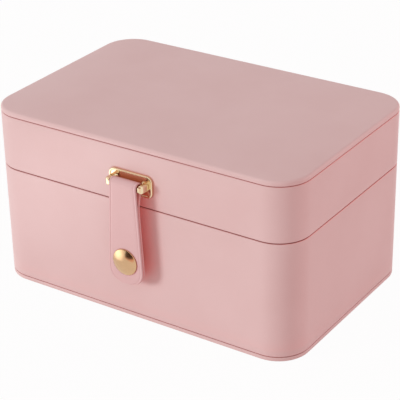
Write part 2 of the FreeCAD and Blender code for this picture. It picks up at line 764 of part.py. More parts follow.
def lid_top_cover():
    """Sheet drawn over foam and board and turned in below."""
    body = new_body("lid_top_cover")
    slab(body, panel_low, panel_edge_top, ZERO)
    round_edges(body, size.PanelRound, outline_edges(panel_edge_top, ZERO))
    round_edges(body, size.EdgeRound, outline_edges(panel_low, ZERO))
    crown(body, "PartDesign::AdditiveLoft", ZERO, ZERO)
    crown(body, "PartDesign::SubtractiveLoft", ZERO, size.SkinThick)
    hollow(body, top_board_top, panel_edge_top - size.SkinThick, size.PanelRound)
    hollow(body, top_board_low, top_board_top, size.SkinThick)
    hollow(body, panel_low - 1, top_board_low, size.PanelTurn)


# Hinges
def hinge_leaf(label, x, upward):
    """A leaf on the back of the box with its share of the five knuckles."""
    body = new_body(label, (x, half_depth + hinge_axis_out, hinge_height))
    sign = 1 if upward else -1
    near = size.KnuckleRadius + size.KnuckleGap
    plate = new_sketch(body, "XZ_Plane", hinge_axis_out)
    levels = sorted((near * sign, size.LeafHeight * sign), key=lambda level: level.number)
    rounded_rectangle(plate, -size.LeafWidth / 2, size.LeafWidth / 2, *levels, size.LeafCorner)
    pad(body, plate, size.LeafThick, reverse=True)
    share = size.LeafWidth / 5
    start = -size.LeafWidth / 2 + size.KnuckleGap / 2
    if upward:
        start = start + share
    length = share - size.KnuckleGap
    barrel = new_sketch(body, "YZ_Plane", start)
    circle(barrel, ZERO, ZERO, size.KnuckleRadius)
    knuckle = pad(body, barrel, length)
    neck = new_sketch(body, "XZ_Plane", hinge_axis_out)
    levels = sorted((size.PartGap / 2 * sign, (near + size.LeafCorner) * sign),
                    key=lambda level: level.number)
    rectangle(neck, start, start + length, *levels)
    web = pad(body, neck, size.LeafThick, reverse=True)
    pattern = body.newObject("PartDesign::LinearPattern", "Knuckles")
    pattern.Originals = [knuckle, web]
    pattern.Direction = (origin_feature(body, "X_Axis"), [""])
    pattern.Occurrences = 2 if upward else 3
    pattern.setExpression("Length", (share * (2 * pattern.Occurrences - 2)).text)
    body.Tip = pattern
    bore = new_sketch(body, "YZ_Plane")
    circle(bore, ZERO, ZERO, size.PinRadius + size.PinGap)
    pocket(body, bore, size.LeafWidth + 2, both=True)
    holes = new_sketch(body, "XZ_Plane", hinge_axis_out)
    for hole_x, hole_z in leaf_screw_spots(ZERO, size.LeafScrewRise * sign):
        circle(holes, hole_x, hole_z, screw_hole)
    pocket(body, holes, size.LeafThick)


def hinge_pin(label, x):
    """The pin through one hinge's knuckles."""
    body = new_body(label, (x, half_depth + hinge_axis_out, hinge_height))
    sketch = new_sketch(body, "YZ_Plane")
    circle(sketch, ZERO, ZERO, size.PinRadius)
    pad(body, sketch, size.LeafWidth, both=True)


def hinge_screws(label, spots):
    """The four screws that hold the leaves of one half of the box."""
    body = new_body(label)
    face = half_depth + size.LeafThick
    heads = new_sketch(body, "XZ_Plane", -face)
    shanks = new_sketch(body, "XZ_Plane", -face)
    for x, z in spots:
        circle(heads, x, z, size.ScrewHead)
        circle(shanks, x, z, size.ScrewShank)
    pad(body, heads, size.ScrewHeadThick, reverse=True)
    pad(body, shanks, size.LeafScrewLength)


def hinges():
    """Both hinges with their pins and screws."""
    for side, x in hinge_places.items():
        hinge_leaf(f"hinge_{side}_base_leaf", x, upward=False)
        hinge_leaf(f"hinge_{side}_lid_leaf", x, upward=True)
        hinge_pin(f"hinge_{side}_pin", x)
    hinge_screws("hinge_base_screws", base_screw_spots)
    hinge_screws("hinge_lid_screws", lid_screw_spots)


# Bridge and strap
def strap_bridge():
    """One casting: a plate on the lid, two arms, and the bar that carries the strap."""
    body = new_body("strap_bridge", (ZERO, -half_depth, plate_height), turned=True)
    plate = new_sketch(body)
    centred_rectangle(plate, size.PlateWidth, size.PlateTall, size.PlateCorner)
    pad(body, plate, size.PlateThick)
    round_edges(body, size.PlateRound, level_edges(size.PlateThick))
    face = new_sketch(body, offset=size.PlateThick)
    rim = size.PlateRim * 2
    centred_rectangle(face, size.PlateWidth - rim, size.PlateTall - rim,
                      size.PlateCorner - size.PlateRim)
    pocket(body, face, size.PlateSink)
    arms = new_sketch(body)
    low = size.ArmLift - size.ArmTall / 2
    high = size.ArmLift + size.ArmTall / 2
    for middle in (-size.ArmSpread / 2, size.ArmSpread / 2):
        rectangle(arms, middle - size.ArmWidth / 2, middle + size.ArmWidth / 2, low, high)
    pad(body, arms, size.ArmReach)
    outer = size.ArmSpread.number / 2 + size.ArmWidth.number / 2
    at_tip = level_edges(size.ArmReach)
    round_edges(body, size.ArmRound,
                lambda edge: at_tip(edge) and abs(abs(middle_of(edge).x) - outer) < 0.01)
    round_edges(body, size.ArmSoften, at_tip)
    bar = new_sketch(body, "YZ_Plane")
    circle(bar, size.ArmLift, size.BarOut, size.BarRadius)
    pad(body, bar, size.ArmSpread, both=True)
    holes = new_sketch(body)
    for middle in (-size.ArmSpread / 2, size.ArmSpread / 2):
        circle(holes, middle, size.ArmLift, screw_hole)
    pocket(body, holes, size.BridgeScrewDepth, reverse=True)


def bridge_screws():
    """Two screws from inside the lid into the bridge's arms."""
    body = new_body("bridge_screws")
    seat = half_depth - lid_board_in + size.ScrewHeadThick
    heads = new_sketch(body, "XZ_Plane", seat)
    shanks = new_sketch(body, "XZ_Plane", seat)
    for x, z in bridge_spots:
        circle(heads, x, z, size.ScrewHead)
        circle(shanks, x, z, size.ScrewShank)
    pad(body, heads, size.ScrewHeadThick, reverse=True)
    reach = lid_board_in - size.ScrewHeadThick + size.BridgeScrewDepth - size.BridgeScrewShort
    pad(body, shanks, reach)


def strap_side(sketch, length):
    """The strap seen from its edge: a loop round the bar whose two layers meet below."""
    inner, outer = strap_inner.number, strap_outer.number
    back = (strap_outer - size.StrapLayer * 2).number
    join = size.StrapJoin.number
    lean = 2 * math.atan(inner / join)
    turn = -90 - math.degrees(lean)
    away = (-math.sin(lean), -math.cos(lean))
    run = (back - outer * away[1]) / math.sin(lean)
    foot = (outer * away[0] - run * math.cos(lean), back)
    end = -length.number
    front_face = line(sketch, (end, outer), (0, outer))
    outer_fold = arc(sketch, 0, 0, outer, turn, 90)
    back_slope = line(sketch, (outer * away[0], outer * away[1]), foot)
    back_face = line(sketch, foot, (end, back))
    bottom = line(sketch, (end, back), (end, outer))
    inside_front = line(sketch, (-join, inner), (0, inner))
    inner_fold = arc(sketch, 0, 0, inner, turn, 90)
    inside_slope = line(sketch, (inner * away[0], inner * away[1]), (-join, inner))
    for fold, radius in ((outer_fold, strap_outer), (inner_fold, strap_inner)):
        constrain(sketch, "Coincident", fold, 3, -1, 1)
        dimension(sketch, "Radius", fold, radius)
    for straight in (front_face, back_face, inside_front):
        constrain(sketch, "Horizontal", straight)
    constrain(sketch, "Vertical", bottom)
    constrain(sketch, "Tangent", front_face, 2, outer_fold, 2)
    constrain(sketch, "Tangent", inside_front, 2, inner_fold, 2)
    constrain(sketch, "Tangent", back_slope, 1, outer_fold, 1)
    constrain(sketch, "Tangent", inside_slope, 1, inner_fold, 1)
    constrain(sketch, "Parallel", back_slope, inside_slope)
    constrain(sketch, "Coincident", back_slope, 2, back_face, 1)
    constrain(sketch, "Coincident", back_face, 2, bottom, 1)
    constrain(sketch, "Coincident", bottom, 2, front_face, 1)
    constrain(sketch, "Coincident", inside_slope, 2, inside_front, 1)
    dimension(sketch, "DistanceX", -1, 1, inside_front, 1, -size.StrapJoin)
    dimension(sketch, "DistanceX", -1, 1, front_face, 1, -length)
    dimension(sketch, "DistanceY", -1, 1, back_face, 1, strap_outer - size.StrapLayer * 2)


def strap_outline(sketch, length):
    """The strap seen from the front: it widens downwards and ends in a round tip."""
    top = strap_outer + 1
    radius = size.StrapCorner
    narrow = size.StrapTop / 2
    centre = size.StrapWide / 2 - radius
    low = -length.number
    r = radius.number
    up = low + r
    right_side = line(sketch, (narrow.number, top.number), (centre.number + r, up))
    right_corner = arc(sketch, centre.number, up, r, -90, 2)
    tip = line(sketch, (centre.number, low), (-centre.number, low))
    left_corner = arc(sketch, -centre.number, up, r, 178, 270)
    left_side = line(sketch, (-centre.number - r, up), (-narrow.number, top.number))
    head = line(sketch, (-narrow.number, top.number), (narrow.number, top.number))
    constrain(sketch, "Tangent", right_side, 2, right_corner, 2)
    constrain(sketch, "Tangent", right_corner, 1, tip, 1)
    constrain(sketch, "Tangent", tip, 2, left_corner, 2)
    constrain(sketch, "Tangent", left_corner, 1, left_side, 1)
    constrain(sketch, "Coincident", left_side, 2, head, 1)
    constrain(sketch, "Coincident", head, 2, right_side, 1)
    constrain(sketch, "Horizontal", tip)
    constrain(sketch, "Equal", right_corner, left_corner)
    dimension(sketch, "Radius", right_corner, radius)
    place_point(sketch, head, 1, -narrow, top)
    place_point(sketch, head, 2, narrow, top)
    dimension(sketch, "DistanceX", -1, 1, right_corner, 3, centre)
    dimension(sketch, "DistanceX", -1, 1, left_corner, 3, -centre)
    dimension(sketch, "DistanceY", -1, 1, tip, 1, -length)


def strap():
    """The folded strap, bored for the snap."""
    place = (ZERO, -half_depth - size.BarOut, bar_height)
    body = new_body("strap", place, turned=True)
    length = bar_height - size.StrapEnd
    side = new_sketch(body, "YZ_Plane")
    strap_side(side, length)
    pad(body, side, size.StrapWide * 1.5, both=True)
    outline = new_sketch(body)
    strap_outline(outline, length)
    margin = size.StrapWide
    rectangle(outline, -margin, margin, -length - margin, strap_outer + margin)
    pocket(body, outline, strap_outer * 4, both=True)
    hole = new_sketch(body)
    circle(hole, ZERO, size.SnapHeight - bar_height, size.CapPost + size.SnapGap)
    pocket(body, hole, strap_outer * 4, both=True)


# Snap
def snap_body(label):
    """A turned piece on the snap's axis; its own height is the distance from the face."""
    return new_body(label, (ZERO, -half_depth, size.SnapHeight), turned=True)


def snap_cap():
    """Domed cap on the strap, with a post that is clinched in the socket."""
    body = snap_body("snap_cap")
    flare_top = cavity_end
    flare_low = cavity_end - size.FlareThick
    revolve(body, (
        (ZERO, strap_front + size.CapRise),
        (size.CapRadius, strap_front + size.CapEdge),
        (size.CapRadius - size.CapUnder, strap_front),
        (size.CapPost, strap_front),
        (size.CapPost, flare_top),
        (size.CapFlare, flare_top),
        (size.CapFlare, flare_low),
        (ZERO, flare_low),
    ), domed=(0,))


def snap_socket():
    """Socket behind the strap, open towards the box."""
    body = snap_body("snap_socket")
    mouth = strap_back - size.SocketDepth
    revolve(body, (
        (size.CapPost + size.SnapGap / 2, strap_back),
        (size.SocketRadius, strap_back),
        (size.SocketRadius, mouth + size.SocketBevel),
        (size.SocketRadius - size.SocketBevel, mouth),
        (size.CavityRadius, mouth),
        (size.CavityRadius, cavity_end),
        (size.CapPost + size.SnapGap / 2, cavity_end),
    ))


def snap_stud():
    """Stud on the front wall that the socket closes over."""
    body = snap_body("snap_stud")
    top = cavity_end - size.FlareThick - size.StudGap
    head_low = top - size.StudHeadTall
    bore = size.RivetRadius + size.PinGap
    bore_end = size.RivetReach + size.StudGap
    revolve(body, (
        (ZERO, top),
        (size.StudHead * 0.6, top),
        (size.StudHead, top - size.StudHeadTall * 0.4),
        (size.StudHead, top - size.StudHeadTall * 0.6),
        (size.StudNeck, head_low),
        (size.StudNeck, size.StudFlangeThick),
        (size.StudFlange, size.StudFlangeThick * 0.6),
        (size.StudFlange, ZERO),
        (bore, ZERO),
        (bore, bore_end),
        (ZERO, bore_end),
    ))


def snap_rivet():
    """Rivet through the front wall; its flat head lies behind the board."""
    body = snap_body("snap_rivet")
    inside = -base_board_in
    revolve(body, (
        (ZERO, size.RivetReach),
        (size.RivetRadius, size.RivetReach),
        (size.RivetRadius, inside),
        (size.RivetHead, inside),
        (size.RivetHead, inside - size.RivetHeadThick),
        (ZERO, inside - size.RivetHeadThick),
    ))


bottom_cover()
bottom_board()
base_wall_board()
base_wrap()
base_lining()
tray_ledge()
lower_dividers()
tray_shell()
tray_lining()
tray_dividers()
ring_rolls()
lid_wall_board()
lid_wrap()
lid_lining()
mirror_pieces()
lid_top_board()
lid_top_foam()
lid_top_cover()
hinges()
strap_bridge()
bridge_screws()
strap()
snap_cap()
snap_socket()
snap_stud()
snap_rivet()
doc.recompute()

# Every object has to be sound, and every cut has to remove something
for item in doc.Objects:
    if "Invalid" in item.State or "Error" in item.State:
        raise RuntimeError(f"{item.Name} of {item.getParentGeoFeatureGroup().Label} failed")
    cuts = ("PartDesign::Pocket", "PartDesign::SubtractiveLoft")
    if item.TypeId in cuts and item.Shape.Volume > item.BaseFeature.Shape.Volume - 0.01:
        raise RuntimeError(f"{item.Name} of {item.getParentGeoFeatureGroup().Label} cuts nothing")

os.makedirs("parts", exist_ok=True)
for item in sub_parts:
    shape = item.Shape
    if shape.isNull() or not shape.isValid():
        raise RuntimeError(f"{item.Label} has no valid shape")
    shape.exportStep(f"parts/{item.Label}.step")
    print(f"{item.Label}: {len(shape.Solids)} solid(s), {shape.Volume / 1000:.2f} cm3")
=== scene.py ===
# %% [markdown]
# A travel jewelry box, piece by piece
# The real box is stiff board wrapped in a soft coated sheet. A padded panel closes the top,
# a flat panel closes the bottom, and a folded strap with a snap holds the lid shut. Inside
# are velvet, a mirror and a tray that lifts out.
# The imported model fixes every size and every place. This script dresses it: each piece is
# built where the model says, and it rides on the body that carries it.

# %% Load the frame
import json
import math

import bmesh
import bpy
from mathutils import Matrix, Vector, noise


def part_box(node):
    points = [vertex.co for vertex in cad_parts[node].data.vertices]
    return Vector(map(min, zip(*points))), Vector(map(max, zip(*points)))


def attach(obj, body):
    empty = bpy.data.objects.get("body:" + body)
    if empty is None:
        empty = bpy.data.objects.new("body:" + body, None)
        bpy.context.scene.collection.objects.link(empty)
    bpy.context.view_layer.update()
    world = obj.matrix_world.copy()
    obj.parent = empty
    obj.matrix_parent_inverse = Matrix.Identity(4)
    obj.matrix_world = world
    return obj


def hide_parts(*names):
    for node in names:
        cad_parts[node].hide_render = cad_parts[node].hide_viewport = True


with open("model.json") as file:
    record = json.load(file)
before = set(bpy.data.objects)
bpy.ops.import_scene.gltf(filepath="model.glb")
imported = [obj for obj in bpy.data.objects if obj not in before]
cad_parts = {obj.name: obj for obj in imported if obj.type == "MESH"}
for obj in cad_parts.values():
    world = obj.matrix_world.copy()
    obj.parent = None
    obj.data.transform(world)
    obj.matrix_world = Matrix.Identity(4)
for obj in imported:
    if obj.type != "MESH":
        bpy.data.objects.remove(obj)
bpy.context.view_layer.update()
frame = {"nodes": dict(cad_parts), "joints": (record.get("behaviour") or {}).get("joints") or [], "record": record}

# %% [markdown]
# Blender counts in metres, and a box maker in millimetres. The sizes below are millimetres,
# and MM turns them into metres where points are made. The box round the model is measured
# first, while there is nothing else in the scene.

MM = 0.001
nodes = frame["nodes"]

# %% [markdown]
# The heights and half sizes that the pieces share are read from the model's nodes, so a
# changed model changes the dressing too. Only the upright corners' radius can't be read
# from a box around a node, and is written down once.

# %% Sizes read from the model, in millimetres
CORNER = 18.0


def span(node):
    """Lowest and highest corner of a node of the model, in millimetres."""
    low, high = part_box(node)
    return low / MM, high / MM


wrap_low, wrap_high = span("base_wrap")
half_width = wrap_high.x
half_depth = -wrap_low.y
foot_low, foot_high = span("bottom_cover")
lid_low, lid_high = span("lid_wrap")
panel_low, panel_high = span("lid_top_cover")
liner_low, liner_high = span("base_lining")
print("outline", [round(half * 2, 1) for half in (half_width, half_depth)],
      "rim at", round(wrap_high.z, 1))

# %% [markdown]
# The camera stands where the photographer stood: to the right of the front and well above
# it, with a long lens. Its place and its slight roll were worked out from the seams. A
# camera looks along its own -Z, so the matrix is filled with its right, up and back axes.

# %% Camera
CAMERA_AZIMUTH = math.radians(34.01)
CAMERA_ELEVATION = math.radians(27.02)
CAMERA_ROLL = math.radians(-1.19)
CAMERA_PLACE = Vector((0.4118, -0.6111, 0.4191))
CAMERA_LENS = 134.2

back = Vector((
    math.sin(CAMERA_AZIMUTH) * math.cos(CAMERA_ELEVATION),
    -math.cos(CAMERA_AZIMUTH) * math.cos(CAMERA_ELEVATION),
    math.sin(CAMERA_ELEVATION),
))
right = Matrix.Rotation(CAMERA_ROLL, 3, back) @ Vector(
    (math.cos(CAMERA_AZIMUTH), math.sin(CAMERA_AZIMUTH), 0))
camera_data = bpy.data.cameras.new("camera")
camera_data.lens = CAMERA_LENS
camera_data.sensor_width = 36
camera_data.clip_start = 0.01
camera = bpy.data.objects.new("camera", camera_data)
axes = Matrix((right, back.cross(right), back)).transposed()
camera.matrix_world = Matrix.Translation(CAMERA_PLACE) @ axes.to_4x4()
bpy.context.scene.collection.objects.link(camera)
bpy.context.scene.camera = camera
print("camera at", [round(value, 3) for value in CAMERA_PLACE])

# %% [markdown]
# The world, the cards and every finish are built from shader nodes. They could be clicked
# together by hand, but a few helpers that make and link one node each keep the cells short.

# %% Helpers for shader nodes
def fill(tree, node, inputs):
    """Gives each input a plain value, or links the output of another node to it."""
    for name, value in inputs.items():
        if isinstance(value, bpy.types.NodeSocket):
            tree.links.new(value, node.inputs[name])
        else:
            node.inputs[name].default_value = value


def add(tree, kind, inputs=None, **settings):
    """A new node with some of its settings and inputs."""
    node = tree.nodes.new(kind)
    for name, value in settings.items():
        setattr(node, name, value)
    fill(tree, node, inputs or {})
    return node


def larger(tree, first, second):
    """The larger one of two values."""
    return add(tree, "ShaderNodeMath", {0: first, 1: second}, operation="MAXIMUM").outputs[0]


def moved(tree, value, start, stop, to_start=0.0, to_stop=1.0, **settings):
    """Moves a value from one range to another and stops it at the ends."""
    return add(tree, "ShaderNodeMapRange", {
        "Value": value, "From Min": start, "From Max": stop, "To Min": to_start, "To Max": to_stop,
    }, **settings).outputs[0]


def new_material(name):
    """A material and its node tree."""
    material = bpy.data.materials.new(name)
    material.use_nodes = True
    return material, material.node_tree


print("helpers:", [helper.__name__ for helper in (fill, add, larger, moved, new_material)])

# %% [markdown]
# The box stands in a plain product studio, a pale room all round. A picture of a real room
# could light it, but an even colour puts no strange shapes on the box. The world is pure
# white to the camera and to mirrors, and dimmer and slightly rosy to surfaces, because
# Light Path tells the rays apart.

# %% World
WHITE = (1, 1, 1, 1)
ROOM_LIGHT = 0.66
ROOM_TINT = (1.0, 0.92, 0.915, 1)


def split_by_ray(tree, seen, unseen, output):
    """Gives one shader to the camera, mirrors and glass, and the other to all other rays."""
    paths = add(tree, "ShaderNodeLightPath").outputs
    eyes = larger(tree, paths["Is Camera Ray"], paths["Is Glossy Ray"])
    eyes = larger(tree, eyes, paths["Is Transmission Ray"])
    mix = add(tree, "ShaderNodeMixShader", {0: eyes, 1: unseen.outputs[0], 2: seen.outputs[0]})
    tree.links.new(mix.outputs[0], output.inputs[0])


world = bpy.data.worlds.new("studio")
bpy.context.scene.world = world
world.use_nodes = True
sky = world.node_tree
room = sky.nodes["Background"]
fill(sky, room, {"Color": ROOM_TINT, "Strength": ROOM_LIGHT})
backdrop = add(sky, "ShaderNodeBackground", {"Color": WHITE, "Strength": 1})
split_by_ray(sky, backdrop, room, sky.nodes["World Output"])
print("world:", world.name)

# %% [markdown]
# Two area lamps stand in the room, a wide soft one low at the left of the front and a weak
# one at the right. The low lamp makes the front the brightest side and lays the strap's
# shadow to its right. The shaded sides of a pink box look rosier than the lit one, so the
# key lamp is a little cool and the weak lamp rosy.

# %% Lamps
KEY_PLACE = (-2.42, -3.20, 0.88)
KEY_SIZE = 1.05
KEY_POWER = 82.0
KEY_TINT = (0.79, 1.0, 1.0)
SIDE_PLACE = (1.22, 0.92, 0.40)
SIDE_SIZE = 0.9
SIDE_POWER = 4.1
SIDE_TINT = (1.0, 0.70, 0.69)
LAMP_AIM = Vector((0, 0, 0.05))


def soft_lamp(name, place, size, power, tint):
    """A square area lamp that faces the middle of the box."""
    data = bpy.data.lights.new(name, "AREA")
    data.size = size
    data.energy = power
    data.color = tint
    lamp = bpy.data.objects.new(name, data)
    lamp.location = place
    aim = LAMP_AIM - Vector(place)
    lamp.rotation_euler = aim.to_track_quat("-Z", "Y").to_euler()
    bpy.context.scene.collection.objects.link(lamp)
    return lamp


key_lamp = soft_lamp("key_lamp", KEY_PLACE, KEY_SIZE, KEY_POWER, KEY_TINT)
# The cards below give the reflections, so the lamp itself stays out of them
key_lamp.visible_glossy = False
soft_lamp("side_lamp", SIDE_PLACE, SIDE_SIZE, SIDE_POWER, SIDE_TINT)

# %% [markdown]
# The floor is a wide pale sheet. Its material is mostly plain white to the camera, so that
# the background stays white, and partly a real pale surface, so that the box's soft shadow
# still shows on it. To everything else it is pinkish paper, because a floor beside so pink
# a box sends pink light back.

# %% Floor
FLOOR_WHITE = 0.96
PAPER_PINK = (0.88, 0.70, 0.69, 1)


def floor_finish():
    """Pale paper whose shadows show faintly through the white."""
    material, tree = new_material("studio_floor")
    paper = tree.nodes["Principled BSDF"]
    fill(tree, paper, {"Base Color": PAPER_PINK, "Roughness": 0.9})
    glow = add(tree, "ShaderNodeEmission", {"Color": WHITE})
    soft = add(tree, "ShaderNodeMixShader",
               {0: FLOOR_WHITE, 1: paper.outputs[0], 2: glow.outputs[0]})
    split_by_ray(tree, soft, paper, tree.nodes["Material Output"])
    return material


bpy.ops.mesh.primitive_grid_add(x_subdivisions=8, y_subdivisions=8, size=8)
floor = bpy.context.object
floor.name = "studio_floor"
floor.data.materials.append(floor_finish())
bpy.context.scene.view_settings.view_transform = "Standard"
print("floor:", floor.name)

# %% [markdown]
# Polished metal has no colour of its own: it shows what stands around it. A photographer
# puts cards beside the set for that. A dark card in front draws the dark band across the
# snap's cap, and a bright one at the left gives its pale edge. Each card fades into the
# white round it, so that it draws no hard edge. Only reflections see the cards, and only
# from close by: a ray that has come further passes through, so the mirror in the open lid
# doesn't show them.

# %% Cards for the metal
CARD_AIM = Vector((0, -0.07, 0.04))
CARD_SEEN_FROM = 0.2


def card_finish(name, middle, core, tint):
    """Glows as strongly as middle in the core, and fades to 1 at the card's edge."""
    material, tree = new_material(name)
    across = add(tree, "ShaderNodeTexCoord").outputs["UV"]
    centred = add(tree, "ShaderNodeVectorMath", {0: across, 1: (-0.5, -0.5, 0)}).outputs[0]
    off_centre = add(tree, "ShaderNodeVectorMath", {0: centred}, operation="LENGTH")
    fade = moved(tree, off_centre.outputs["Value"], core / 2, 0.5, middle, 1.0,
                 interpolation_type="SMOOTHSTEP")
    glow = add(tree, "ShaderNodeEmission", {"Color": tint, "Strength": fade})
    come = add(tree, "ShaderNodeLightPath").outputs["Ray Length"]
    far_off = add(tree, "ShaderNodeMath", {0: come, 1: CARD_SEEN_FROM}, operation="GREATER_THAN")
    clear = add(tree, "ShaderNodeBsdfTransparent")
    mix = add(tree, "ShaderNodeMixShader",
              {0: far_off.outputs[0], 1: glow.outputs[0], 2: clear.outputs[0]})
    tree.links.new(mix.outputs[0], tree.nodes["Material Output"].inputs[0])
    return material


def card(name, place, width, height, middle, core, tint=WHITE, roll=0.0):
    """A card that faces the front of the box. Only reflections see it."""
    bpy.ops.mesh.primitive_grid_add(x_subdivisions=2, y_subdivisions=2, size=1)
    piece = bpy.context.object
    piece.name = name
    aim = CARD_AIM - Vector(place)
    turn = aim.to_track_quat("Z", "Y").to_matrix() @ Matrix.Rotation(math.radians(roll), 3, "Z")
    for vertex in piece.data.vertices:
        vertex.co = Vector(place) + turn @ Vector((vertex.co.x * width, vertex.co.y * height, 0))
    piece.data.materials.append(card_finish(name, middle, core, tint))
    piece.visible_camera = False
    piece.visible_diffuse = False
    piece.visible_shadow = False
    piece.visible_transmission = False
    return piece


card("dark_card", place=(-0.022, -0.193, 0.0865), width=0.19, height=0.135,
     middle=0.07, core=0.72, tint=(1, 0.6, 0.5, 1), roll=24)
card("bright_card", place=(-0.088, -0.126, 0.038), width=0.15, height=0.12,
     middle=2.8, core=0.0)

# %% [markdown]
# The skin of the box is a coated sheet: a smooth pink film with a very fine pebble grain.
# A slow noise moves its colour between two near tones, and another one moves its gloss, so
# that no surface is one flat tone. The grain is a Bump from a fine cell pattern. Scales are
# in repeats to the metre, and depths in metres.

# %% Tones, gloss and bumps
def blank_finish(name):
    """A material, its node tree and the object's own coordinates."""
    material, tree = new_material(name)
    return material, tree, add(tree, "ShaderNodeTexCoord").outputs["Object"]


def finished(material, inputs):
    """The material, once its shader has its inputs."""
    tree = material.node_tree
    fill(tree, tree.nodes["Principled BSDF"], inputs)
    return material


def cloud(tree, place, scale, detail):
    """A soft value that wanders from place to place."""
    inputs = {"Vector": place, "Scale": scale, "Detail": detail}
    return add(tree, "ShaderNodeTexNoise", inputs).outputs["Fac"]


def tone(tree, place, light, dark, scale, detail=3.0, contrast=(0.35, 0.65)):
    """A colour that wanders slowly between two tones."""
    ramp = add(tree, "ShaderNodeValToRGB", {0: cloud(tree, place, scale, detail)})
    for end, position, colour in zip(ramp.color_ramp.elements, contrast, (dark, light)):
        end.position = position
        end.color = (*colour, 1)
    return ramp.outputs["Color"]


def varied(tree, place, low, high, scale):
    """A value that wanders between two limits."""
    return moved(tree, cloud(tree, place, scale, 4.0), 0.0, 1.0, low, high)


def bump(tree, height, depth, strength=1.0, under=None):
    """A Bump node, on top of another one if there is one under it."""
    inputs = {"Height": height, "Distance": depth, "Strength": strength}
    if under is not None:
        inputs["Normal"] = under
    return add(tree, "ShaderNodeBump", inputs).outputs["Normal"]


print("finish helpers:", [helper.__name__ for helper in (cloud, tone, varied, bump)])

# %% [markdown]
# Where two pink surfaces stand close together, light goes to and fro between them and comes
# out redder. The seams and the side of the strap that lies in shadow show it. More light
# bounces would cost time and give too little of it, so shade is painted into the colour
# there: a dark red painted shade in the seams, and a deeper, redder painted shadow beside
# the strap. Ambient Occlusion measures how much of what a point sees is taken up by near
# things. For the wide hollow it looks a little towards the side that the key lamp stands
# on, so the painted shadow lies only on the shaded side. Near the box's foot the floor
# would count too, and is left out.

# %% Painted shade in seams and hollows
# closed and clear are shares of open space: below the one the colour is the painted shade
# colour, and above the other it is the sheet's own. Below foot_low no shade is painted, and
# above foot_high it is painted in full. lean tips the look towards the key lamp. Lengths are
# in metres.
# Painted shadow beside the strap and the bridge: deeper and redder on the side away from the key lamp
PAINTED_HOLLOW_SHADE = {
    "painted_shade_colour": (0.97, 0.40, 0.38, 1), "reach": 0.018, "closed": 0.15, "clear": 0.70,
    "foot_low": 0.005, "foot_high": 0.020, "lean": (-0.8, -0.2, 0.1),
}
# Painted shade in the seams: dark red-brown colour where another surface is within 1.5 mm
PAINTED_SEAM_SHADE = {
    "painted_shade_colour": (0.48, 0.12, 0.11, 1), "reach": 0.0015, "closed": 0.35, "clear": 0.85,
    "foot_low": 0.0008, "foot_high": 0.0018, "lean": (0, 0, 0),
}


def paint_shade_near_others(tree, place, open_colour, painted_shade_colour, reach, closed, clear, foot_low,
                foot_high, lean):
    """Painted shade: a colour that goes from the shade colour to the open one as the space round a point clears.
    """
    facing = add(tree, "ShaderNodeNewGeometry").outputs["Normal"]
    leaning = add(tree, "ShaderNodeVectorMath", {0: facing, 1: lean}).outputs[0]
    outward = add(tree, "ShaderNodeVectorMath", {0: leaning}, operation="NORMALIZE").outputs[0]
    nearness = add(tree, "ShaderNodeAmbientOcclusion", {"Distance": reach, "Normal": outward},
                   samples=8)
    height = add(tree, "ShaderNodeSeparateXYZ", {"Vector": place}).outputs["Z"]
    share = moved(tree, nearness.outputs["AO"], closed, clear)
    foot = moved(tree, height, foot_high, foot_low)
    blend = add(tree, "ShaderNodeMix", {
        "Factor": larger(tree, share, foot), "A": painted_shade_colour, "B": open_colour,
    }, data_type="RGBA")
    return blend.outputs["Result"]


print("deeper within", PAINTED_HOLLOW_SHADE["reach"] / MM, "and", PAINTED_SEAM_SHADE["reach"] / MM, "mm of another surface")

# %% [markdown]
# One function makes both coated sheets from their colours and their roughness. The strap is
# a little deeper and duller than the box. A faint slow noise under the grain stands for the
# board below, which is never quite flat, and a thin Coat is the film's gloss.

# %% Coated sheet
BOX_PINK = (0.748, 0.500, 0.491)
BOX_PINK_DEEP = (0.726, 0.474, 0.464)
STRAP_PINK = (0.725, 0.445, 0.443)
STRAP_PINK_DEEP = (0.705, 0.425, 0.422)
GRAIN_DEPTH = 0.00002
BOARD_WAVE_DEPTH = 0.00012


def coated_sheet(name, light, dark, roughness):
    """Smooth coated sheet with a fine pebble grain."""
    material, tree, place = blank_finish(name)
    colour = tone(tree, place, light, dark, scale=22.0)
    # Painted shade: the colour is deepened and reddened in the seams and beside the strap
    colour = paint_shade_near_others(tree, place, colour, **PAINTED_HOLLOW_SHADE)
    colour = paint_shade_near_others(tree, place, colour, **PAINTED_SEAM_SHADE)
    wavy = bump(tree, cloud(tree, place, scale=55.0, detail=2.0), BOARD_WAVE_DEPTH)
    pebbles = add(tree, "ShaderNodeTexVoronoi",
                  {"Vector": place, "Scale": 1400.0, "Smoothness": 0.6}, feature="SMOOTH_F1")
    return finished(material, {
        "Base Color": colour,
        "Roughness": varied(tree, place, roughness - 0.04, roughness + 0.05, scale=140.0),
        "Normal": bump(tree, pebbles.outputs["Distance"], GRAIN_DEPTH, under=wavy),
        "Specular IOR Level": 0.5,
        "Coat Weight": 0.08,
        "Coat Roughness": 0.32,
    })


box_skin = coated_sheet("pink_sheet", BOX_PINK, BOX_PINK_DEEP, roughness=0.46)
strap_skin = coated_sheet("pink_strap_sheet", STRAP_PINK, STRAP_PINK_DEEP, roughness=0.5)
print("finishes:", box_skin.name, strap_skin.name)

# %% [markdown]
# Velvet is short pile. Light catches the tips of the fibres at grazing angles, and sheen on
# a rough surface does that. Fingers brush the pile one way or another, which shows as soft
# paler and darker clouds.

# %% Velvet
PILE_DEPTH = 0.00018


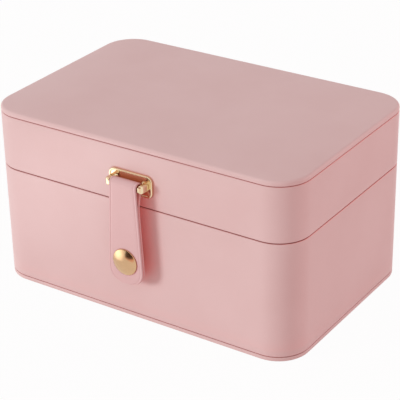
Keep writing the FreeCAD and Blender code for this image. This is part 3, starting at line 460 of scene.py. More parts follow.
def velvet(name, light, dark):
    """Short pile with brushed clouds."""
    material, tree, place = blank_finish(name)
    pile = cloud(tree, place, scale=2600.0, detail=2.0)
    return finished(material, {
        "Base Color": tone(tree, place, light, dark, scale=48.0, detail=5.0, contrast=(0.4, 0.62)),
        "Normal": bump(tree, pile, PILE_DEPTH, strength=0.7),
        "Roughness": 0.95,
        "Specular IOR Level": 0.15,
        "Sheen Weight": 0.55,
        "Sheen Roughness": 0.35,
        "Sheen Tint": (1.0, 0.86, 0.84, 1),
    })


lining_velvet = velvet("lining_velvet", (0.560, 0.318, 0.300), (0.470, 0.245, 0.232))
roll_velvet = velvet("roll_velvet", (0.610, 0.365, 0.345), (0.520, 0.290, 0.272))
print("finishes:", lining_velvet.name, roll_velvet.name)

# %% [markdown]
# The plated hardware is a warm pale gold. Real plating is never perfectly even, so the
# roughness wanders. The domed cap is satin and a little deeper in colour, and the bridge
# is polished.

# %% Gold
CAP_GOLD = (0.660, 0.420, 0.235)
BRIDGE_GOLD = (0.850, 0.690, 0.455)
GOLD_DEEPER = 0.94
GOLD_RIPPLE = 0.00002


def plated(name, colour, rough_low, rough_high):
    """Gold plating whose polish varies a little."""
    material, tree, place = blank_finish(name)
    deeper = [value * GOLD_DEEPER for value in colour]
    ripple = cloud(tree, place, scale=260.0, detail=0.0)
    return finished(material, {
        "Base Color": tone(tree, place, colour, deeper, scale=160.0),
        "Roughness": varied(tree, place, rough_low, rough_high, scale=420.0),
        "Normal": bump(tree, ripple, GOLD_RIPPLE, strength=0.5),
        "Metallic": 1,
    })


satin_gold = plated("satin_gold", CAP_GOLD, rough_low=0.15, rough_high=0.20)
polished_gold = plated("polished_gold", BRIDGE_GOLD, rough_low=0.10, rough_high=0.16)
print("finishes:", satin_gold.name, polished_gold.name)

# %% [markdown]
# Mirror, board and foam are simpler: a tone and a roughness, and open cells for the foam.
# The board is compressed fibre and shows only at its edges.

# %% Mirror, board and foam
def silvered_glass():
    """The mirror."""
    material, tree, place = blank_finish("mirror_silver")
    return finished(material, {
        "Base Color": tone(tree, place, (0.90, 0.92, 0.92), (0.88, 0.905, 0.905), scale=12.0),
        "Roughness": varied(tree, place, 0.008, 0.02, scale=30.0),
        "Metallic": 1,
    })


def grey_board():
    """Compressed board."""
    material, tree, place = blank_finish("grey_board")
    return finished(material, {
        "Base Color": tone(tree, place, (0.40, 0.36, 0.30), (0.30, 0.27, 0.23), scale=900.0),
        "Roughness": 0.9,
    })


def soft_foam():
    """Fine open-cell foam."""
    material, tree, place = blank_finish("soft_foam")
    cells = add(tree, "ShaderNodeTexVoronoi", {"Vector": place, "Scale": 1800.0})
    return finished(material, {
        "Base Color": tone(tree, place, (0.80, 0.77, 0.69), (0.72, 0.69, 0.61), scale=90.0),
        "Normal": bump(tree, cells.outputs["Distance"], 0.0002),
        "Roughness": 0.95,
    })


mirror_silver = silvered_glass()
board = grey_board()
foam = soft_foam()
print("materials:", len(bpy.data.materials))

# %% [markdown]
# Most pieces follow the outline of the box: a rectangle with four round corners. Such a
# piece could be a cube with bevels, but a stack of rings keeps its points in even rows and
# lets every edge have its own radius. outline() gives the points of one ring, and
# soft_path() rounds the bends of the section that the rings follow.

# %% Rings along the outline
CORNER_STEPS = 14
FRONT_STEPS = 40
SIDE_STEPS = 26
SMALLEST_CORNER = 0.5


def outline(half_x, half_y, corner, front_steps=FRONT_STEPS, side_steps=SIDE_STEPS):
    """Points of a round-cornered rectangle, anticlockwise from the front right corner."""
    points = []
    turns = ((1, -1, -90), (1, 1, 0), (-1, 1, 90), (-1, -1, 180))
    for index, (sign_x, sign_y, start) in enumerate(turns):
        middle = Vector((sign_x * (half_x - corner), sign_y * (half_y - corner)))
        for step in range(CORNER_STEPS + 1):
            angle = math.radians(start + 90 * step / CORNER_STEPS)
            points.append(middle + Vector((math.cos(angle), math.sin(angle))) * corner)
        following = turns[(index + 1) % 4]
        beyond = Vector((following[0] * (half_x - corner), following[1] * (half_y - corner)))
        angle = math.radians(following[2])
        goal = beyond + Vector((math.cos(angle), math.sin(angle))) * corner
        begin = points[-1]
        count = side_steps if index % 2 == 0 else front_steps
        points += [begin.lerp(goal, step / count) for step in range(1, count)]
    return points


def soft_path(corners, steps=5):
    """Rounds an open path. Each corner is across, up and the radius of its bend."""
    points = [Vector(corners[0][:2])]
    for before, here, after in zip(corners, corners[1:], corners[2:]):
        middle = Vector(here[:2])
        come = (Vector(before[:2]) - middle).normalized()
        leave = (Vector(after[:2]) - middle).normalized()
        half = come.angle(leave) / 2
        if here[2] == 0:
            points.append(middle)
            continue
        hub = middle + (come + leave).normalized() * here[2] / math.sin(half)
        first = middle + come * here[2] / math.tan(half) - hub
        last = middle + leave * here[2] / math.tan(half) - hub
        whole = first.angle_signed(last)
        for step in range(steps + 1):
            turn = Matrix.Rotation(-whole * step / steps, 2)
            points.append(hub + turn @ first)
    points.append(Vector(corners[-1][:2]))
    return points


print("points in one ring:", len(outline(half_width, half_depth, CORNER)))

# %% [markdown]
# Rings with equal point counts are joined by quads, and an open end can get a flat cap.
# from_rings() does that for any rings, and ring_piece() for a section that runs round the
# box. Faces that meet at a steep angle are marked sharp, so smooth shading stops there.

# %% Pieces from rings
def new_piece(name, mesh, finish, smooth=40):
    """Puts a mesh into the scene with its finish and its sharp edges."""
    piece = bpy.data.objects.new(name, mesh)
    bpy.context.scene.collection.objects.link(piece)
    mesh.materials.append(finish)
    mesh.shade_smooth()
    mesh.set_sharp_from_angle(angle=math.radians(smooth))
    return piece


def from_rings(name, rings, finish, cap_first=False, cap_last=False, closed=False, smooth=40):
    """Joins rings of equal length with quads; a cap closes an end, closed joins both ends."""
    shape = bmesh.new()
    made = [[shape.verts.new(Vector(point) * MM) for point in ring] for ring in rings]
    if closed:
        made.append(made[0])
    for lower, upper in zip(made, made[1:]):
        for index in range(len(lower)):
            ahead = (index + 1) % len(lower)
            shape.faces.new((lower[index], lower[ahead], upper[ahead], upper[index]))
    if cap_first:
        shape.faces.new(list(reversed(made[0])))
    if cap_last:
        shape.faces.new(made[-1])
    mesh = bpy.data.meshes.new(name)
    shape.to_mesh(mesh)
    shape.free()
    return new_piece(name, mesh, finish, smooth)


def usual_corner(inset):
    """Corner of the box's outline at an inset: the walls stay parallel round the bend."""
    return max(CORNER - inset, SMALLEST_CORNER)


def box_ring(inset, height, corner_of=usual_corner, side_steps=SIDE_STEPS):
    """The box's outline at an inset and a height."""
    ring = outline(half_width - inset, half_depth - inset, corner_of(inset), side_steps=side_steps)
    return [(x, y, height) for x, y in ring]


def ring_piece(name, path, finish, corner_of=usual_corner, side_steps=SIDE_STEPS, **ends):
    """A piece whose section is a path of inset and height along the box's outline."""
    rings = [box_ring(inset, height, corner_of, side_steps) for inset, height in path]
    return from_rings(name, rings, finish, **ends)


print("one ring at the rim:", len(box_ring(0, wrap_high.z)), "points")

# %% [markdown]
# Three helpers finish a piece. One turns faces outwards, because a bent or joined piece can
# end up with some of them inside out. One gives a one-sided skin its sheet's thickness.

# %% Faces, thickness and what carries a piece
def face_outwards(piece):
    """Turns every face of a closed piece outwards."""
    shape = bmesh.new()
    shape.from_mesh(piece.data)
    bmesh.ops.recalc_face_normals(shape, faces=shape.faces)
    shape.to_mesh(piece.data)
    shape.free()
    return piece


def sheet_thickness(piece, thick):
    """Gives a one-sided skin its real thickness, inwards."""
    solid = piece.modifiers.new("thickness", "SOLIDIFY")
    solid.thickness = thick * MM
    solid.offset = -1
    return piece


def settle(piece, body, slot, *replaced):
    """Says what carries a piece and hides the nodes that it stands for. The slot is not used."""
    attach(piece, body)
    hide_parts(*replaced)
    return piece


print("helpers:", [helper.__name__ for helper in (face_outwards, sheet_thickness, settle)])

# %% [markdown]
# The wrap of the base is one strip of sheet. It is glued round the outside of the wall,
# turned over the rim and under the foot. It could be a solid with a bevel, but a skin that
# follows the sheet's path and gets its thickness from Solidify is how the real one is made.
# At the four corners the part that is turned in has too much length and gathers in small
# pleats, so those points are pushed down in fine waves.

# %% Wrap of the base
SKIN = 0.6
EDGE = 0.7
BASE_BOARD = 3.2
BASE_TURN = 14.0
WALL_RINGS = 12
PLEATS_IN_TURN = 36
PLEAT_DEPTH = 0.02
PLEATS_BELOW_RIM = 1.0


def pleats(x, y, depth):
    """How far the turned-in sheet dips at a corner, in fine waves round the bend."""
    across = abs(x) - (half_width - CORNER)
    along = abs(y) - (half_depth - CORNER)
    if across <= 0 or along <= 0:
        return 0.0
    angle = math.atan2(along, across)
    fade = math.sin(2 * angle) ** 0.5
    return depth * fade * (0.5 + 0.5 * math.cos(angle * PLEATS_IN_TURN))


def with_wall_rings(path, low, high, count):
    """Gives a straight wall rings of its own, so that the shading of its bends stays near them."""
    split = next(index for index, point in enumerate(path)
                 if point.x < 0.01 and point.y > low + 0.01)
    step = (high - low) / count
    return path[:split] + [Vector((0, low + step * ring)) for ring in range(1, count)] + path[split:]


base_turn = SKIN * 2 + BASE_BOARD
foot = wrap_low.z
rim = wrap_high.z
base_path = soft_path((
    (SKIN + BASE_BOARD, foot, 0), (0, foot, EDGE), (0, rim, EDGE),
    (base_turn, rim, EDGE), (base_turn, rim - BASE_TURN, 0),
))
base_path = with_wall_rings(base_path, foot + EDGE, rim - EDGE, WALL_RINGS)
base_wrap = ring_piece("base_wrap_sheet", base_path, box_skin)
for vertex in base_wrap.data.vertices:
    x, y, z = vertex.co / MM
    inset = max(0.0, (half_width - abs(x)) if abs(x) > abs(y) else (half_depth - abs(y)))
    if z > rim - PLEATS_BELOW_RIM:
        vertex.co.z -= pleats(x, y, PLEAT_DEPTH * min(inset, base_turn)) * MM
sheet_thickness(base_wrap, SKIN)
settle(base_wrap, "base", "pink_sheet", "base_wrap")
print("base wrap:", len(base_wrap.data.vertices), "points")

# %% [markdown]
# The lid's wall is wrapped the same way, with a narrower strip turned in at its lower edge.
# It is too narrow to gather where it can be seen, so it gets no pleats.

# %% Wrap of the lid
LID_BOARD = 2.4
LID_TURN = 7.0
LID_RINGS = 6

lid_edge = lid_low.z
seam = lid_high.z
lid_turn = SKIN * 2 + LID_BOARD
lid_path = soft_path((
    (lid_turn, lid_edge + LID_TURN, 0), (lid_turn, lid_edge, EDGE), (0, lid_edge, EDGE),
    (0, seam, EDGE), (SKIN + LID_BOARD, seam, 0),
))
lid_path = with_wall_rings(lid_path, lid_edge + EDGE, seam - EDGE, LID_RINGS)
lid_wrap = sheet_thickness(ring_piece("lid_wrap_sheet", lid_path, box_skin), SKIN)
settle(lid_wrap, "lid", "pink_sheet", "lid_wrap")
print("lid wrap:", len(lid_wrap.data.vertices), "points")

# %% [markdown]
# The bottom panel is a thin board in the same sheet. Only its edge shows, as a narrow band
# under the lowest seam. The sheet is turned in all round, so its path ends on the upper
# side, and a cap closes the flat underside.

# %% Bottom panel
PANEL_TURN = 12.0

bottom_path = soft_path((
    (PANEL_TURN * 2, foot_low.z, 0), (0, foot_low.z, EDGE), (0, foot_high.z, EDGE),
    (PANEL_TURN, foot_high.z, 0),
), steps=6)
bottom_panel = ring_piece("bottom_panel_sheet", bottom_path, box_skin, cap_first=True)
sheet_thickness(bottom_panel, SKIN)
settle(bottom_panel, "base", "pink_sheet", "bottom_cover")
print("bottom panel:", len(bottom_panel.data.vertices), "points")

# %% [markdown]
# The top panel is a board with a thin foam under its sheet, so it has a soft edge and a
# slight crown. The rise is steep at the edge and dies out towards the middle. Rings that
# keep a round corner all the way in give a smooth surface with no creases.

# %% Top panel
PANEL_EDGE = 3.0
PANEL_ROUND = 1.6
CROWN_REACH = 44.0
CROWN_RINGS = 16
CROWN_CORNER = 16.4
CROWN_FALL = 3.2
CROWN_SPACING = 1.5

edge_top = panel_low.z + PANEL_EDGE
crown_rise = panel_high.z - edge_top


def crown_height(inset):
    """Rise of the padded top above its edge."""
    share = min(1.0, max(0.0, (inset - PANEL_ROUND) / (CROWN_REACH - PANEL_ROUND)))
    return crown_rise * (1 - (1 - share) ** CROWN_FALL)


def crown_rings(first, drop=0.0):
    """Rings of the crown from an inset inwards, lowered by drop."""
    for step in range(1, CROWN_RINGS + 1):
        inset = first + (CROWN_REACH - first) * (step / CROWN_RINGS) ** CROWN_SPACING
        yield Vector((inset, edge_top - drop + crown_height(inset)))


def panel_corner(inset):
    """Corner of a ring of the panel, which stays wide all over the crown."""
    return max(CORNER - inset, CROWN_CORNER) if inset > PANEL_ROUND else CORNER - inset


top_path = soft_path((
    (PANEL_TURN, panel_low.z, 0), (0, panel_low.z, EDGE), (0, edge_top, PANEL_ROUND),
    (PANEL_ROUND * 1.05, edge_top, 0),
), steps=8)
top_path[-1:] = list(crown_rings(PANEL_ROUND))
top_panel = ring_piece("top_panel_sheet", top_path, box_skin, panel_corner, cap_last=True)
sheet_thickness(top_panel, SKIN)
settle(top_panel, "lid", "pink_sheet", "lid_top_cover")
print("top panel:", len(top_panel.data.vertices), "points, crown", round(crown_rise, 2), "mm")

# %% [markdown]
# The foam lies sealed under that sheet. It has the same crown, one sheet thickness lower.

# %% Foam in the top panel
foam_low, foam_high = span("lid_top_foam")
foam_drop = panel_high.z - foam_high.z
foam_corner = CROWN_CORNER - 1.0
foam_out = PANEL_ROUND * 1.6
foam_edge = edge_top - foam_drop
foam_path = [Vector((CROWN_REACH, foam_low.z)), Vector((foam_out, foam_low.z))]
foam_path += soft_path((
    (foam_out, foam_low.z + 0.1, 0), (foam_out, foam_edge, 0.2), (PANEL_ROUND * 1.8, foam_edge, 0),
), steps=3)
foam_path += list(crown_rings(PANEL_ROUND * 2, foam_drop + 0.05))
top_foam = ring_piece("top_foam", foam_path, foam, lambda inset: foam_corner,
                      cap_first=True, cap_last=True)
settle(top_foam, "lid", "foam", "lid_top_foam")
print("foam rises", round(foam_high.z - foam_low.z, 2), "mm")

# %% [markdown]
# The base is lined with velvet on a stiff card liner. The liner stands a little higher than
# the box's rim, and that lip finds the lid when it closes. Floor, walls and lip are one
# ring piece: its section runs out under the floor, up the outside, over the soft lip, down
# the inside and back to the middle.

# %% Lining of the base
LINER_THICK = 1.6
LIP_ROUND = 0.75
MIDDLE_INSET = 50.0

liner_out = half_width - liner_high.x
liner_in = liner_out + LINER_THICK
liner_floor = liner_low.z + LINER_THICK
liner_path = soft_path((
    (MIDDLE_INSET, liner_low.z, 0), (liner_out, liner_low.z, 0.4),
    (liner_out, liner_high.z, LIP_ROUND), (liner_in, liner_high.z, LIP_ROUND),
    (liner_in, liner_floor, 0.9), (MIDDLE_INSET, liner_floor, 0),
))
base_lining = ring_piece("base_lining_velvet", liner_path, lining_velvet,
                         cap_first=True, cap_last=True)
settle(base_lining, "base", "velvet", "base_lining")
print("liner floor at", round(liner_floor, 2))

# %% [markdown]
# The tray rests on a frame that stands inside the liner. It is a closed ring piece, because
# its section is a closed loop, so the last ring is joined to the first.

# %% Ledge that carries the tray
VELVET_ROUND = 0.55
LEDGE_THICK = 2.0

ledge_low, ledge_high = span("tray_ledge")
ledge_out = half_width - ledge_high.x
ledge_in = ledge_out + LEDGE_THICK
ledge_path = soft_path((
    (ledge_out, ledge_low.z, 0), (ledge_out, ledge_high.z, VELVET_ROUND),
    (ledge_in, ledge_high.z, VELVET_ROUND), (ledge_in, ledge_low.z, 0),
))
ledge = ring_piece("tray_ledge_velvet", ledge_path, lining_velvet, closed=True)
settle(ledge, "base", "velvet", "tray_ledge")
print("ledge top at", round(ledge_high.z, 2))

# %% [markdown]
# The dividers are cards covered in velvet, slotted into each other like an egg crate. Each is
# drawn as its outline seen from the side, with its slots, and pushed out to its thickness.
# A bevel then rounds every edge, as cloth does on a card. One function makes all six.

# %% Dividers
DIVIDER_GAP = 0.2


def divider(node, body, slots=(), slots_on_top=True):
    """A slotted card in the box of its node. Slots are places along it."""
    low, high = span(node)
    along_x = high.x - low.x > high.y - low.y
    start, stop = (low.x, high.x) if along_x else (low.y, high.y)
    side_low, side_high = (low.y, high.y) if along_x else (low.x, high.x)
    half_height = (low.z + high.z) / 2
    half_slot = (side_high - side_low + DIVIDER_GAP) / 2
    slot_end = half_height + (-DIVIDER_GAP if slots_on_top else DIVIDER_GAP) / 2
    edge = high.z if slots_on_top else low.z
    cuts = []
    for spot in sorted(slots, reverse=slots_on_top):
        first, last = (spot + half_slot, spot - half_slot)
        if not slots_on_top:
            first, last = last, first
        cuts += [(first, edge), (first, slot_end), (last, slot_end), (last, edge)]
    bottom = [(start, low.z)] + ([] if slots_on_top else cuts) + [(stop, low.z)]
    top = [(stop, high.z)] + (cuts if slots_on_top else []) + [(start, high.z)]
    shape = bmesh.new()
    sides = []
    for across in (side_low, side_high):
        points = [(u, across, z) if along_x else (across, u, z) for u, z in bottom + top]
        sides.append([shape.verts.new(Vector(point) * MM) for point in points])
    shape.faces.new(sides[0])
    shape.faces.new(list(reversed(sides[1])))
    for index in range(len(sides[0])):
        ahead = (index + 1) % len(sides[0])
        shape.faces.new((sides[0][ahead], sides[0][index], sides[1][index], sides[1][ahead]))
    bmesh.ops.recalc_face_normals(shape, faces=shape.faces)
    mesh = bpy.data.meshes.new(node + "_velvet")
    shape.to_mesh(mesh)
    shape.free()
    piece = new_piece(node + "_velvet", mesh, lining_velvet)
    round_over = piece.modifiers.new("round_over", "BEVEL")
    round_over.width = VELVET_ROUND * MM
    round_over.segments = 3
    return settle(piece, body, "velvet", node)


def middle_of(node):
    """The middle of a node's box, in millimetres."""
    low, high = span(node)
    return (low + high) / 2


columns = [middle_of("lower_divider_left").x, middle_of("lower_divider_right").x]
long_place = middle_of("lower_divider_long").y
dividers = [
    divider("lower_divider_long", "base", columns, slots_on_top=True),
    divider("lower_divider_left", "base", [long_place], slots_on_top=False),
    divider("lower_divider_right", "base", [long_place], slots_on_top=False),
    divider("tray_divider_main", "tray"),
    divider("tray_divider_column", "tray", [middle_of("tray_divider_row").y], slots_on_top=True),
    divider("tray_divider_row", "tray", [middle_of("tray_divider_column").x], slots_on_top=False),
]
print("dividers:", len(dividers))

# %% [markdown]
# The tray is a small open box of its own, sheet outside and velvet inside. Both end walls
# have a round scoop for a finger. The walls are drawn as ring pieces with many points along
# the end walls, and near a scoop the upper part of the wall is pressed down to the scoop's
# circle, which keeps the rounded rim all along it. Where circle and rim would meet in a
# sharp point, the edge is eased from one into the other.

# %% Tray shell and lining
TRAY_STEPS = 144
TRAY_WALL = 1.8
TRAY_FLOOR = 1.5
TRAY_LINER = 0.9
NOTCH_RADIUS = 12.0
NOTCH_RISE = 4.0
NOTCH_SOFT = 3.0
SCOOPED_FROM = 8.0
END_WALL = 20.0
TRAY_RIM = 0.7
LINING_RIM = 0.35
FLOOR_ROUND = 0.8

tray_low, tray_high = span("tray_shell")
tray_out = half_width - tray_high.x
scoop_middle = tray_high.z + NOTCH_RISE


def scooped(piece, base, top):
    """Presses the wall above base down to the scoops' circle in both end walls."""
    for vertex in piece.data.vertices:
        x, y, z = vertex.co / MM
        if z <= base or abs(x) < half_width - END_WALL:
            continue
        circle = scoop_middle - math.sqrt(max(0.0, NOTCH_RADIUS ** 2 - y * y)) - (tray_high.z - top)
        near = max(0.0, 1 - abs(circle - top) / NOTCH_SOFT)
        edge = min(top, circle) - near * near * NOTCH_SOFT / 4
        vertex.co.z = (base + (z - base) * (edge - base) / (top - base)) * MM
    return piece


def open_box(name, inset, wall, low, floor, high, edge, finish):
    """An open box with a floor, as a ring piece with fine end walls."""
    path = soft_path((
        (MIDDLE_INSET, low, 0), (inset, low, edge), (inset, high, edge),
        (inset + wall, high, edge), (inset + wall, floor, FLOOR_ROUND), (MIDDLE_INSET, floor, 0),
    ), steps=4)
    return ring_piece(name, path, finish, side_steps=TRAY_STEPS, cap_first=True, cap_last=True)


tray_shell = open_box("tray_shell_sheet", tray_out, TRAY_WALL, tray_low.z, tray_low.z + TRAY_FLOOR,
                      tray_high.z, TRAY_RIM, box_skin)
scooped(tray_shell, tray_low.z + SCOOPED_FROM, tray_high.z)
settle(tray_shell, "tray", "pink_sheet", "tray_shell")
lining_low, lining_high = span("tray_lining")
lining_out = half_width - lining_high.x
tray_lining = open_box("tray_lining_velvet", lining_out, TRAY_LINER, lining_low.z,
                       lining_low.z + TRAY_LINER, lining_high.z, LINING_RIM, lining_velvet)
scooped(tray_lining, tray_low.z + SCOOPED_FROM, lining_high.z)
settle(tray_lining, "tray", "velvet", "tray_lining")
print("tray:", round(tray_high.x * 2, 1), "x", round(tray_high.y * 2, 1))

# %% [markdown]
# A ring is pushed between two padded rolls. Each roll is a strip of foam with velvet drawn
# over it and gathered at both ends. A cloth simulation could make it, but a turned form with
# gathers worked out from the angle is steadier: the roll is a little slack between its ends,
# the cloth pulls into folds at each end, and the roll is flat where it rests.

# %% Ring rolls
ROLL_TURN = 56
ROLL_FOLDS = 14
# Distance from the end and share of the radius: the end's middle is drawn in by the gathers
ROLL_ENDS = ((0.9, 0.04), (0.75, 0.16), (0.3, 0.34), (0.0, 0.55), (0.12, 0.74), (0.55, 0.88),
             (1.3, 0.96), (2.6, 0.993), (4.5, 1.0))
ROLL_MIDDLE_STEPS = 22
FOLD_DEPTH = 0.075
FOLD_LENGTH = 2.2
SLACK_DEPTH = 0.02
SLACK_ALONG = 0.06
SLACK_AROUND = 1.4


def ring_roll(node):
    """One padded roll along X with gathered ends."""
    low, high = span(node)
    radius = (high.y - low.y) / 2
    middle = Vector((0, (low.y + high.y) / 2, high.z - radius))
    # Each roll lies elsewhere, so its place makes its folds and its slack its own
    seed = middle.y * 0.37
    stations = [(low.x + step, share) for step, share in ROLL_ENDS]
    first, last = low.x + ROLL_ENDS[-1][0], high.x - ROLL_ENDS[-1][0]
    for step in range(1, ROLL_MIDDLE_STEPS):
        stations.append((first + (last - first) * step / ROLL_MIDDLE_STEPS, 1.0))
    stations += [(high.x - step, share) for step, share in reversed(ROLL_ENDS)]
    rings = []
    for x, share in stations:
        nearest = min(x - low.x, high.x - x)
        pull = math.exp(-nearest / FOLD_LENGTH)
        ring = []
        for step in range(ROLL_TURN):
            angle = 2 * math.pi * step / ROLL_TURN
            fold = 0.5 + 0.5 * math.cos(angle * ROLL_FOLDS + seed)
            spot = Vector((x * SLACK_ALONG, seed, math.cos(angle) * SLACK_AROUND))
            slack = 0.5 + 0.5 * noise.noise(spot)
            drawn_in = FOLD_DEPTH * pull * fold + SLACK_DEPTH * slack * (1 - pull)
            reach = radius * share * (1 - drawn_in)
            y = middle.y + reach * math.cos(angle)
            ring.append((x, y, max(low.z, middle.z + reach * math.sin(angle))))
        rings.append(ring)
    piece = from_rings(node + "_velvet", rings, roll_velvet,
                       cap_first=True, cap_last=True, smooth=70)
    settle(piece, "tray", "velvet_roll", node)
    return piece


roll_nodes = sorted(name for name in nodes if name.startswith("ring_roll_"))
for name in roll_nodes:
    ring_roll(name)
print("ring rolls:", len(roll_nodes))

# %% [markdown]
# The lid is lined the same way: velvet walls and a ceiling, with a window for the mirror.
# The section runs round the lining's wall and ceiling and closes on itself, while its
# outline changes from the box's own shape to the window's.

# %% Lining of the lid
WINDOW_HALF = Vector((75.0, 42.0))
WINDOW_CORNER = 8.0
CEILING_CARD = 1.2
LID_LINER = 1.0
CEILING_STRIP = 6.0
CARD_EDGE = 0.45
CARD_EDGE_MIDDLE = 0.13

roof_low, roof_high = span("lid_lining")
roof_out = half_width - roof_high.x
ceiling = roof_high.z - CEILING_CARD


def window_ring(grow, height):
    """The window's outline, made larger by grow, at a height."""
    ring = outline(WINDOW_HALF.x + grow, WINDOW_HALF.y + grow, WINDOW_CORNER + grow)
    return [(x, y, height) for x, y in ring]


roof_in = roof_out + LID_LINER
roof_path = soft_path((
    (roof_in + CEILING_STRIP, ceiling, 0), (roof_in, ceiling, 0.8),
    (roof_in, roof_low.z, 0.4), (roof_out, roof_low.z, 0.4), (roof_out, roof_high.z, 0.3),
    (roof_out + CEILING_STRIP, roof_high.z, 0),
))
roof_rings = [
    window_ring(0.0, roof_high.z - 0.02), window_ring(0.0, ceiling + CARD_EDGE),
    window_ring(CARD_EDGE_MIDDLE, ceiling + CARD_EDGE_MIDDLE), window_ring(CARD_EDGE, ceiling),
]
roof_rings += [box_ring(across, height) for across, height in roof_path]
lid_lining = from_rings("lid_lining_velvet", roof_rings, lining_velvet, closed=True)
settle(lid_lining, "lid", "velvet", "lid_lining")
print("ceiling at", round(ceiling, 2))

# %% [markdown]
# The mirror is a sheet of glass behind the window, with a card behind it. The glass has a
# narrow ground edge, and its front face is silvered for the eye: the thin glass in front
# of the silver would only cost render time.

# %% Mirror and its backing
GLASS_CORNER = 12.0
GROUND_EDGE = 0.35
BACKING_EDGE = 0.15


def flat_sheet(node, corner, edge, finish):
    """A flat round-cornered sheet in the box of its node, with its edges broken."""
    low, high = span(node)
    levels = ((edge, low.z), (0.0, low.z + edge), (0.0, high.z - edge), (edge, high.z))
    rings = []
    for inset, height in levels:
        ring = outline(high.x - inset, high.y - inset, corner - inset)
        rings.append([(x, y, height) for x, y in ring])
    return from_rings(node + "_sheet", rings, finish, cap_first=True, cap_last=True, smooth=30)


mirror_glass = flat_sheet("mirror_glass", GLASS_CORNER, GROUND_EDGE, mirror_silver)
settle(mirror_glass, "lid", "mirror", "mirror_glass")
mirror_backing = flat_sheet("mirror_backing", CORNER - roof_out, BACKING_EDGE, board)
settle(mirror_backing, "lid", "grey_board", "mirror_backing")
print("mirror window", WINDOW_HALF.x * 2, "x", WINDOW_HALF.y * 2)

# %% [markdown]
# The strap is one strip of sheet, folded over the bridge's bar, with its two layers glued
# together lower down. Seen from its edge it is a loop with a tail, so a closed section is
# drawn in that view and widened to the strap's outline as seen from the front. The front
# layer is pressed in a hair's breadth along its edges, and a fine groove runs round the
# edge where the two layers meet.

# %% Strap: places read from the model
strap_joint = next(joint for joint in frame["joints"] if joint["name"] == "strap_swing")
bar = Vector(strap_joint["pos_m"]) / MM
strap_low = span("strap")[0]
cap_low, cap_high = span("snap_cap")
bridge_low, bridge_high = span("strap_bridge")
snap_height = (cap_low.z + cap_high.z) / 2
STRAP_LAYER = 1.35
FOLD_INSIDE = 1.65
STRAP_TOP = 16.8
STRAP_WIDE = 22.4
STRAP_CORNER = 8.6
JOIN_DEPTH = 13.0
GAP_NARROWS = 0.25
STRAP_STEPS = 34
FOLD_STEPS = 12
print("bar at", [round(value, 2) for value in bar], "snap at", round(snap_height, 2))

# %% [markdown]
# From the bar to the tip the strap grows wider, and it ends in two round corners. Its middle
# line runs up the front, round the bar and down again behind. Below the bar the back layer
# closes in on the front one.

# %% Strap: width and middle line
strap_length = bar.z - strap_low.z


def strap_half(down):
    """Half the strap's width at a distance below the bar."""
    slope = (STRAP_WIDE - STRAP_TOP) / 2 / strap_length
    straight = STRAP_TOP / 2 + slope * max(0.0, down)
    low = strap_length - down
    if low >= STRAP_CORNER:
        return straight
    inside = straight - STRAP_CORNER
    return inside + math.sqrt(max(0.0, STRAP_CORNER ** 2 - (STRAP_CORNER - low) ** 2))


def layer_gap(down):
    """Distance from the back of the front layer to the front of the back layer."""
    share = min(1.0, max(0.0, down / JOIN_DEPTH))
    closing = 0.5 + 0.5 * math.cos(math.pi * share)
    return FOLD_INSIDE * 2 * closing * (1 - share * GAP_NARROWS)


def strap_stations():
    """Places along the strip's middle line: out from the box, down from the bar, facing."""
    middle = FOLD_INSIDE + STRAP_LAYER / 2
    downs = [strap_length * (1 - step / STRAP_STEPS) for step in range(STRAP_STEPS)]
    for down in downs:
        yield Vector((middle, down)), Vector((1, 0)), down
    for step in range(FOLD_STEPS + 1):
        angle = math.pi * step / FOLD_STEPS
        spoke = Vector((math.cos(angle), -math.sin(angle)))
        yield spoke * middle, spoke, 0.0
    for down in reversed(downs):
        out = middle - STRAP_LAYER - layer_gap(down)
        yield Vector((out, down)), Vector((-1, 0)), down


print("strap", round(strap_length, 1), "mm long below the bar,", STRAP_WIDE, "mm wide at its end")

# %% [markdown]
# A cut across one layer is a thin strip with rounded edges, and the outer face has the fine
# pressed line near each edge. The points across stand close together there and far apart
# in the flat middle. One such loop at each station of the middle line makes the strap.

# %% Strap: section and mesh
EDGE_SOFT = 0.55
THIN_EDGE = 0.12
NARROWEST = 0.4
PRESS_DEPTH = 0.20
PRESS_INSET = 1.35
PRESS_WIDE = 0.32
# Points across the strap, close together at the soft edge and the pressed line
EDGE_SHARES = (0.0, 0.006, 0.016, 0.03, 0.045, 0.055, 0.065, 0.075, 0.085, 0.10, 0.13, 0.22, 0.35)
ACROSS = EDGE_SHARES + (0.5,) + tuple(1 - share for share in reversed(EDGE_SHARES))


def strap_ring(spot, facing, down):
    """A closed loop round the strip at one station: outside face, then inside face."""
    wide = max(strap_half(down), NARROWEST)
    ring = []
    for side in (1, -1):
        shares = ACROSS if side == 1 else tuple(reversed(ACROSS))
        for share in shares:
            edge = min(share, 1 - share) * wide * 2
            soft = STRAP_LAYER / 2 * math.sqrt(max(0.0, 1 - max(0.0, 1 - edge / EDGE_SOFT) ** 2))
            line = math.exp(-((edge - PRESS_INSET) / PRESS_WIDE) ** 2) if side == 1 else 0.0
            off = spot + facing * side * (max(soft, THIN_EDGE) - PRESS_DEPTH * line)
            ring.append(((share * 2 - 1) * wide, bar.y - off.x, bar.z - off.y))
    return ring


strap_rings = [strap_ring(*station) for station in strap_stations()]
strap = from_rings("strap_sheet", strap_rings, strap_skin, cap_first=True, cap_last=True, smooth=60)
face_outwards(strap)
settle(strap, "strap", "pink_strap", "strap")
print("strap:", len(strap_rings), "stations")

# %% [markdown]
# Round hardware is turned on a lathe, so its mesh is a profile spun about an axis. The cap
# is a shallow dome whose edge is rolled under. The cap, the socket and the stud share the
# snap's axis, which points out of the box's front.

# %% Snap cap
LATHE_STEPS = 64


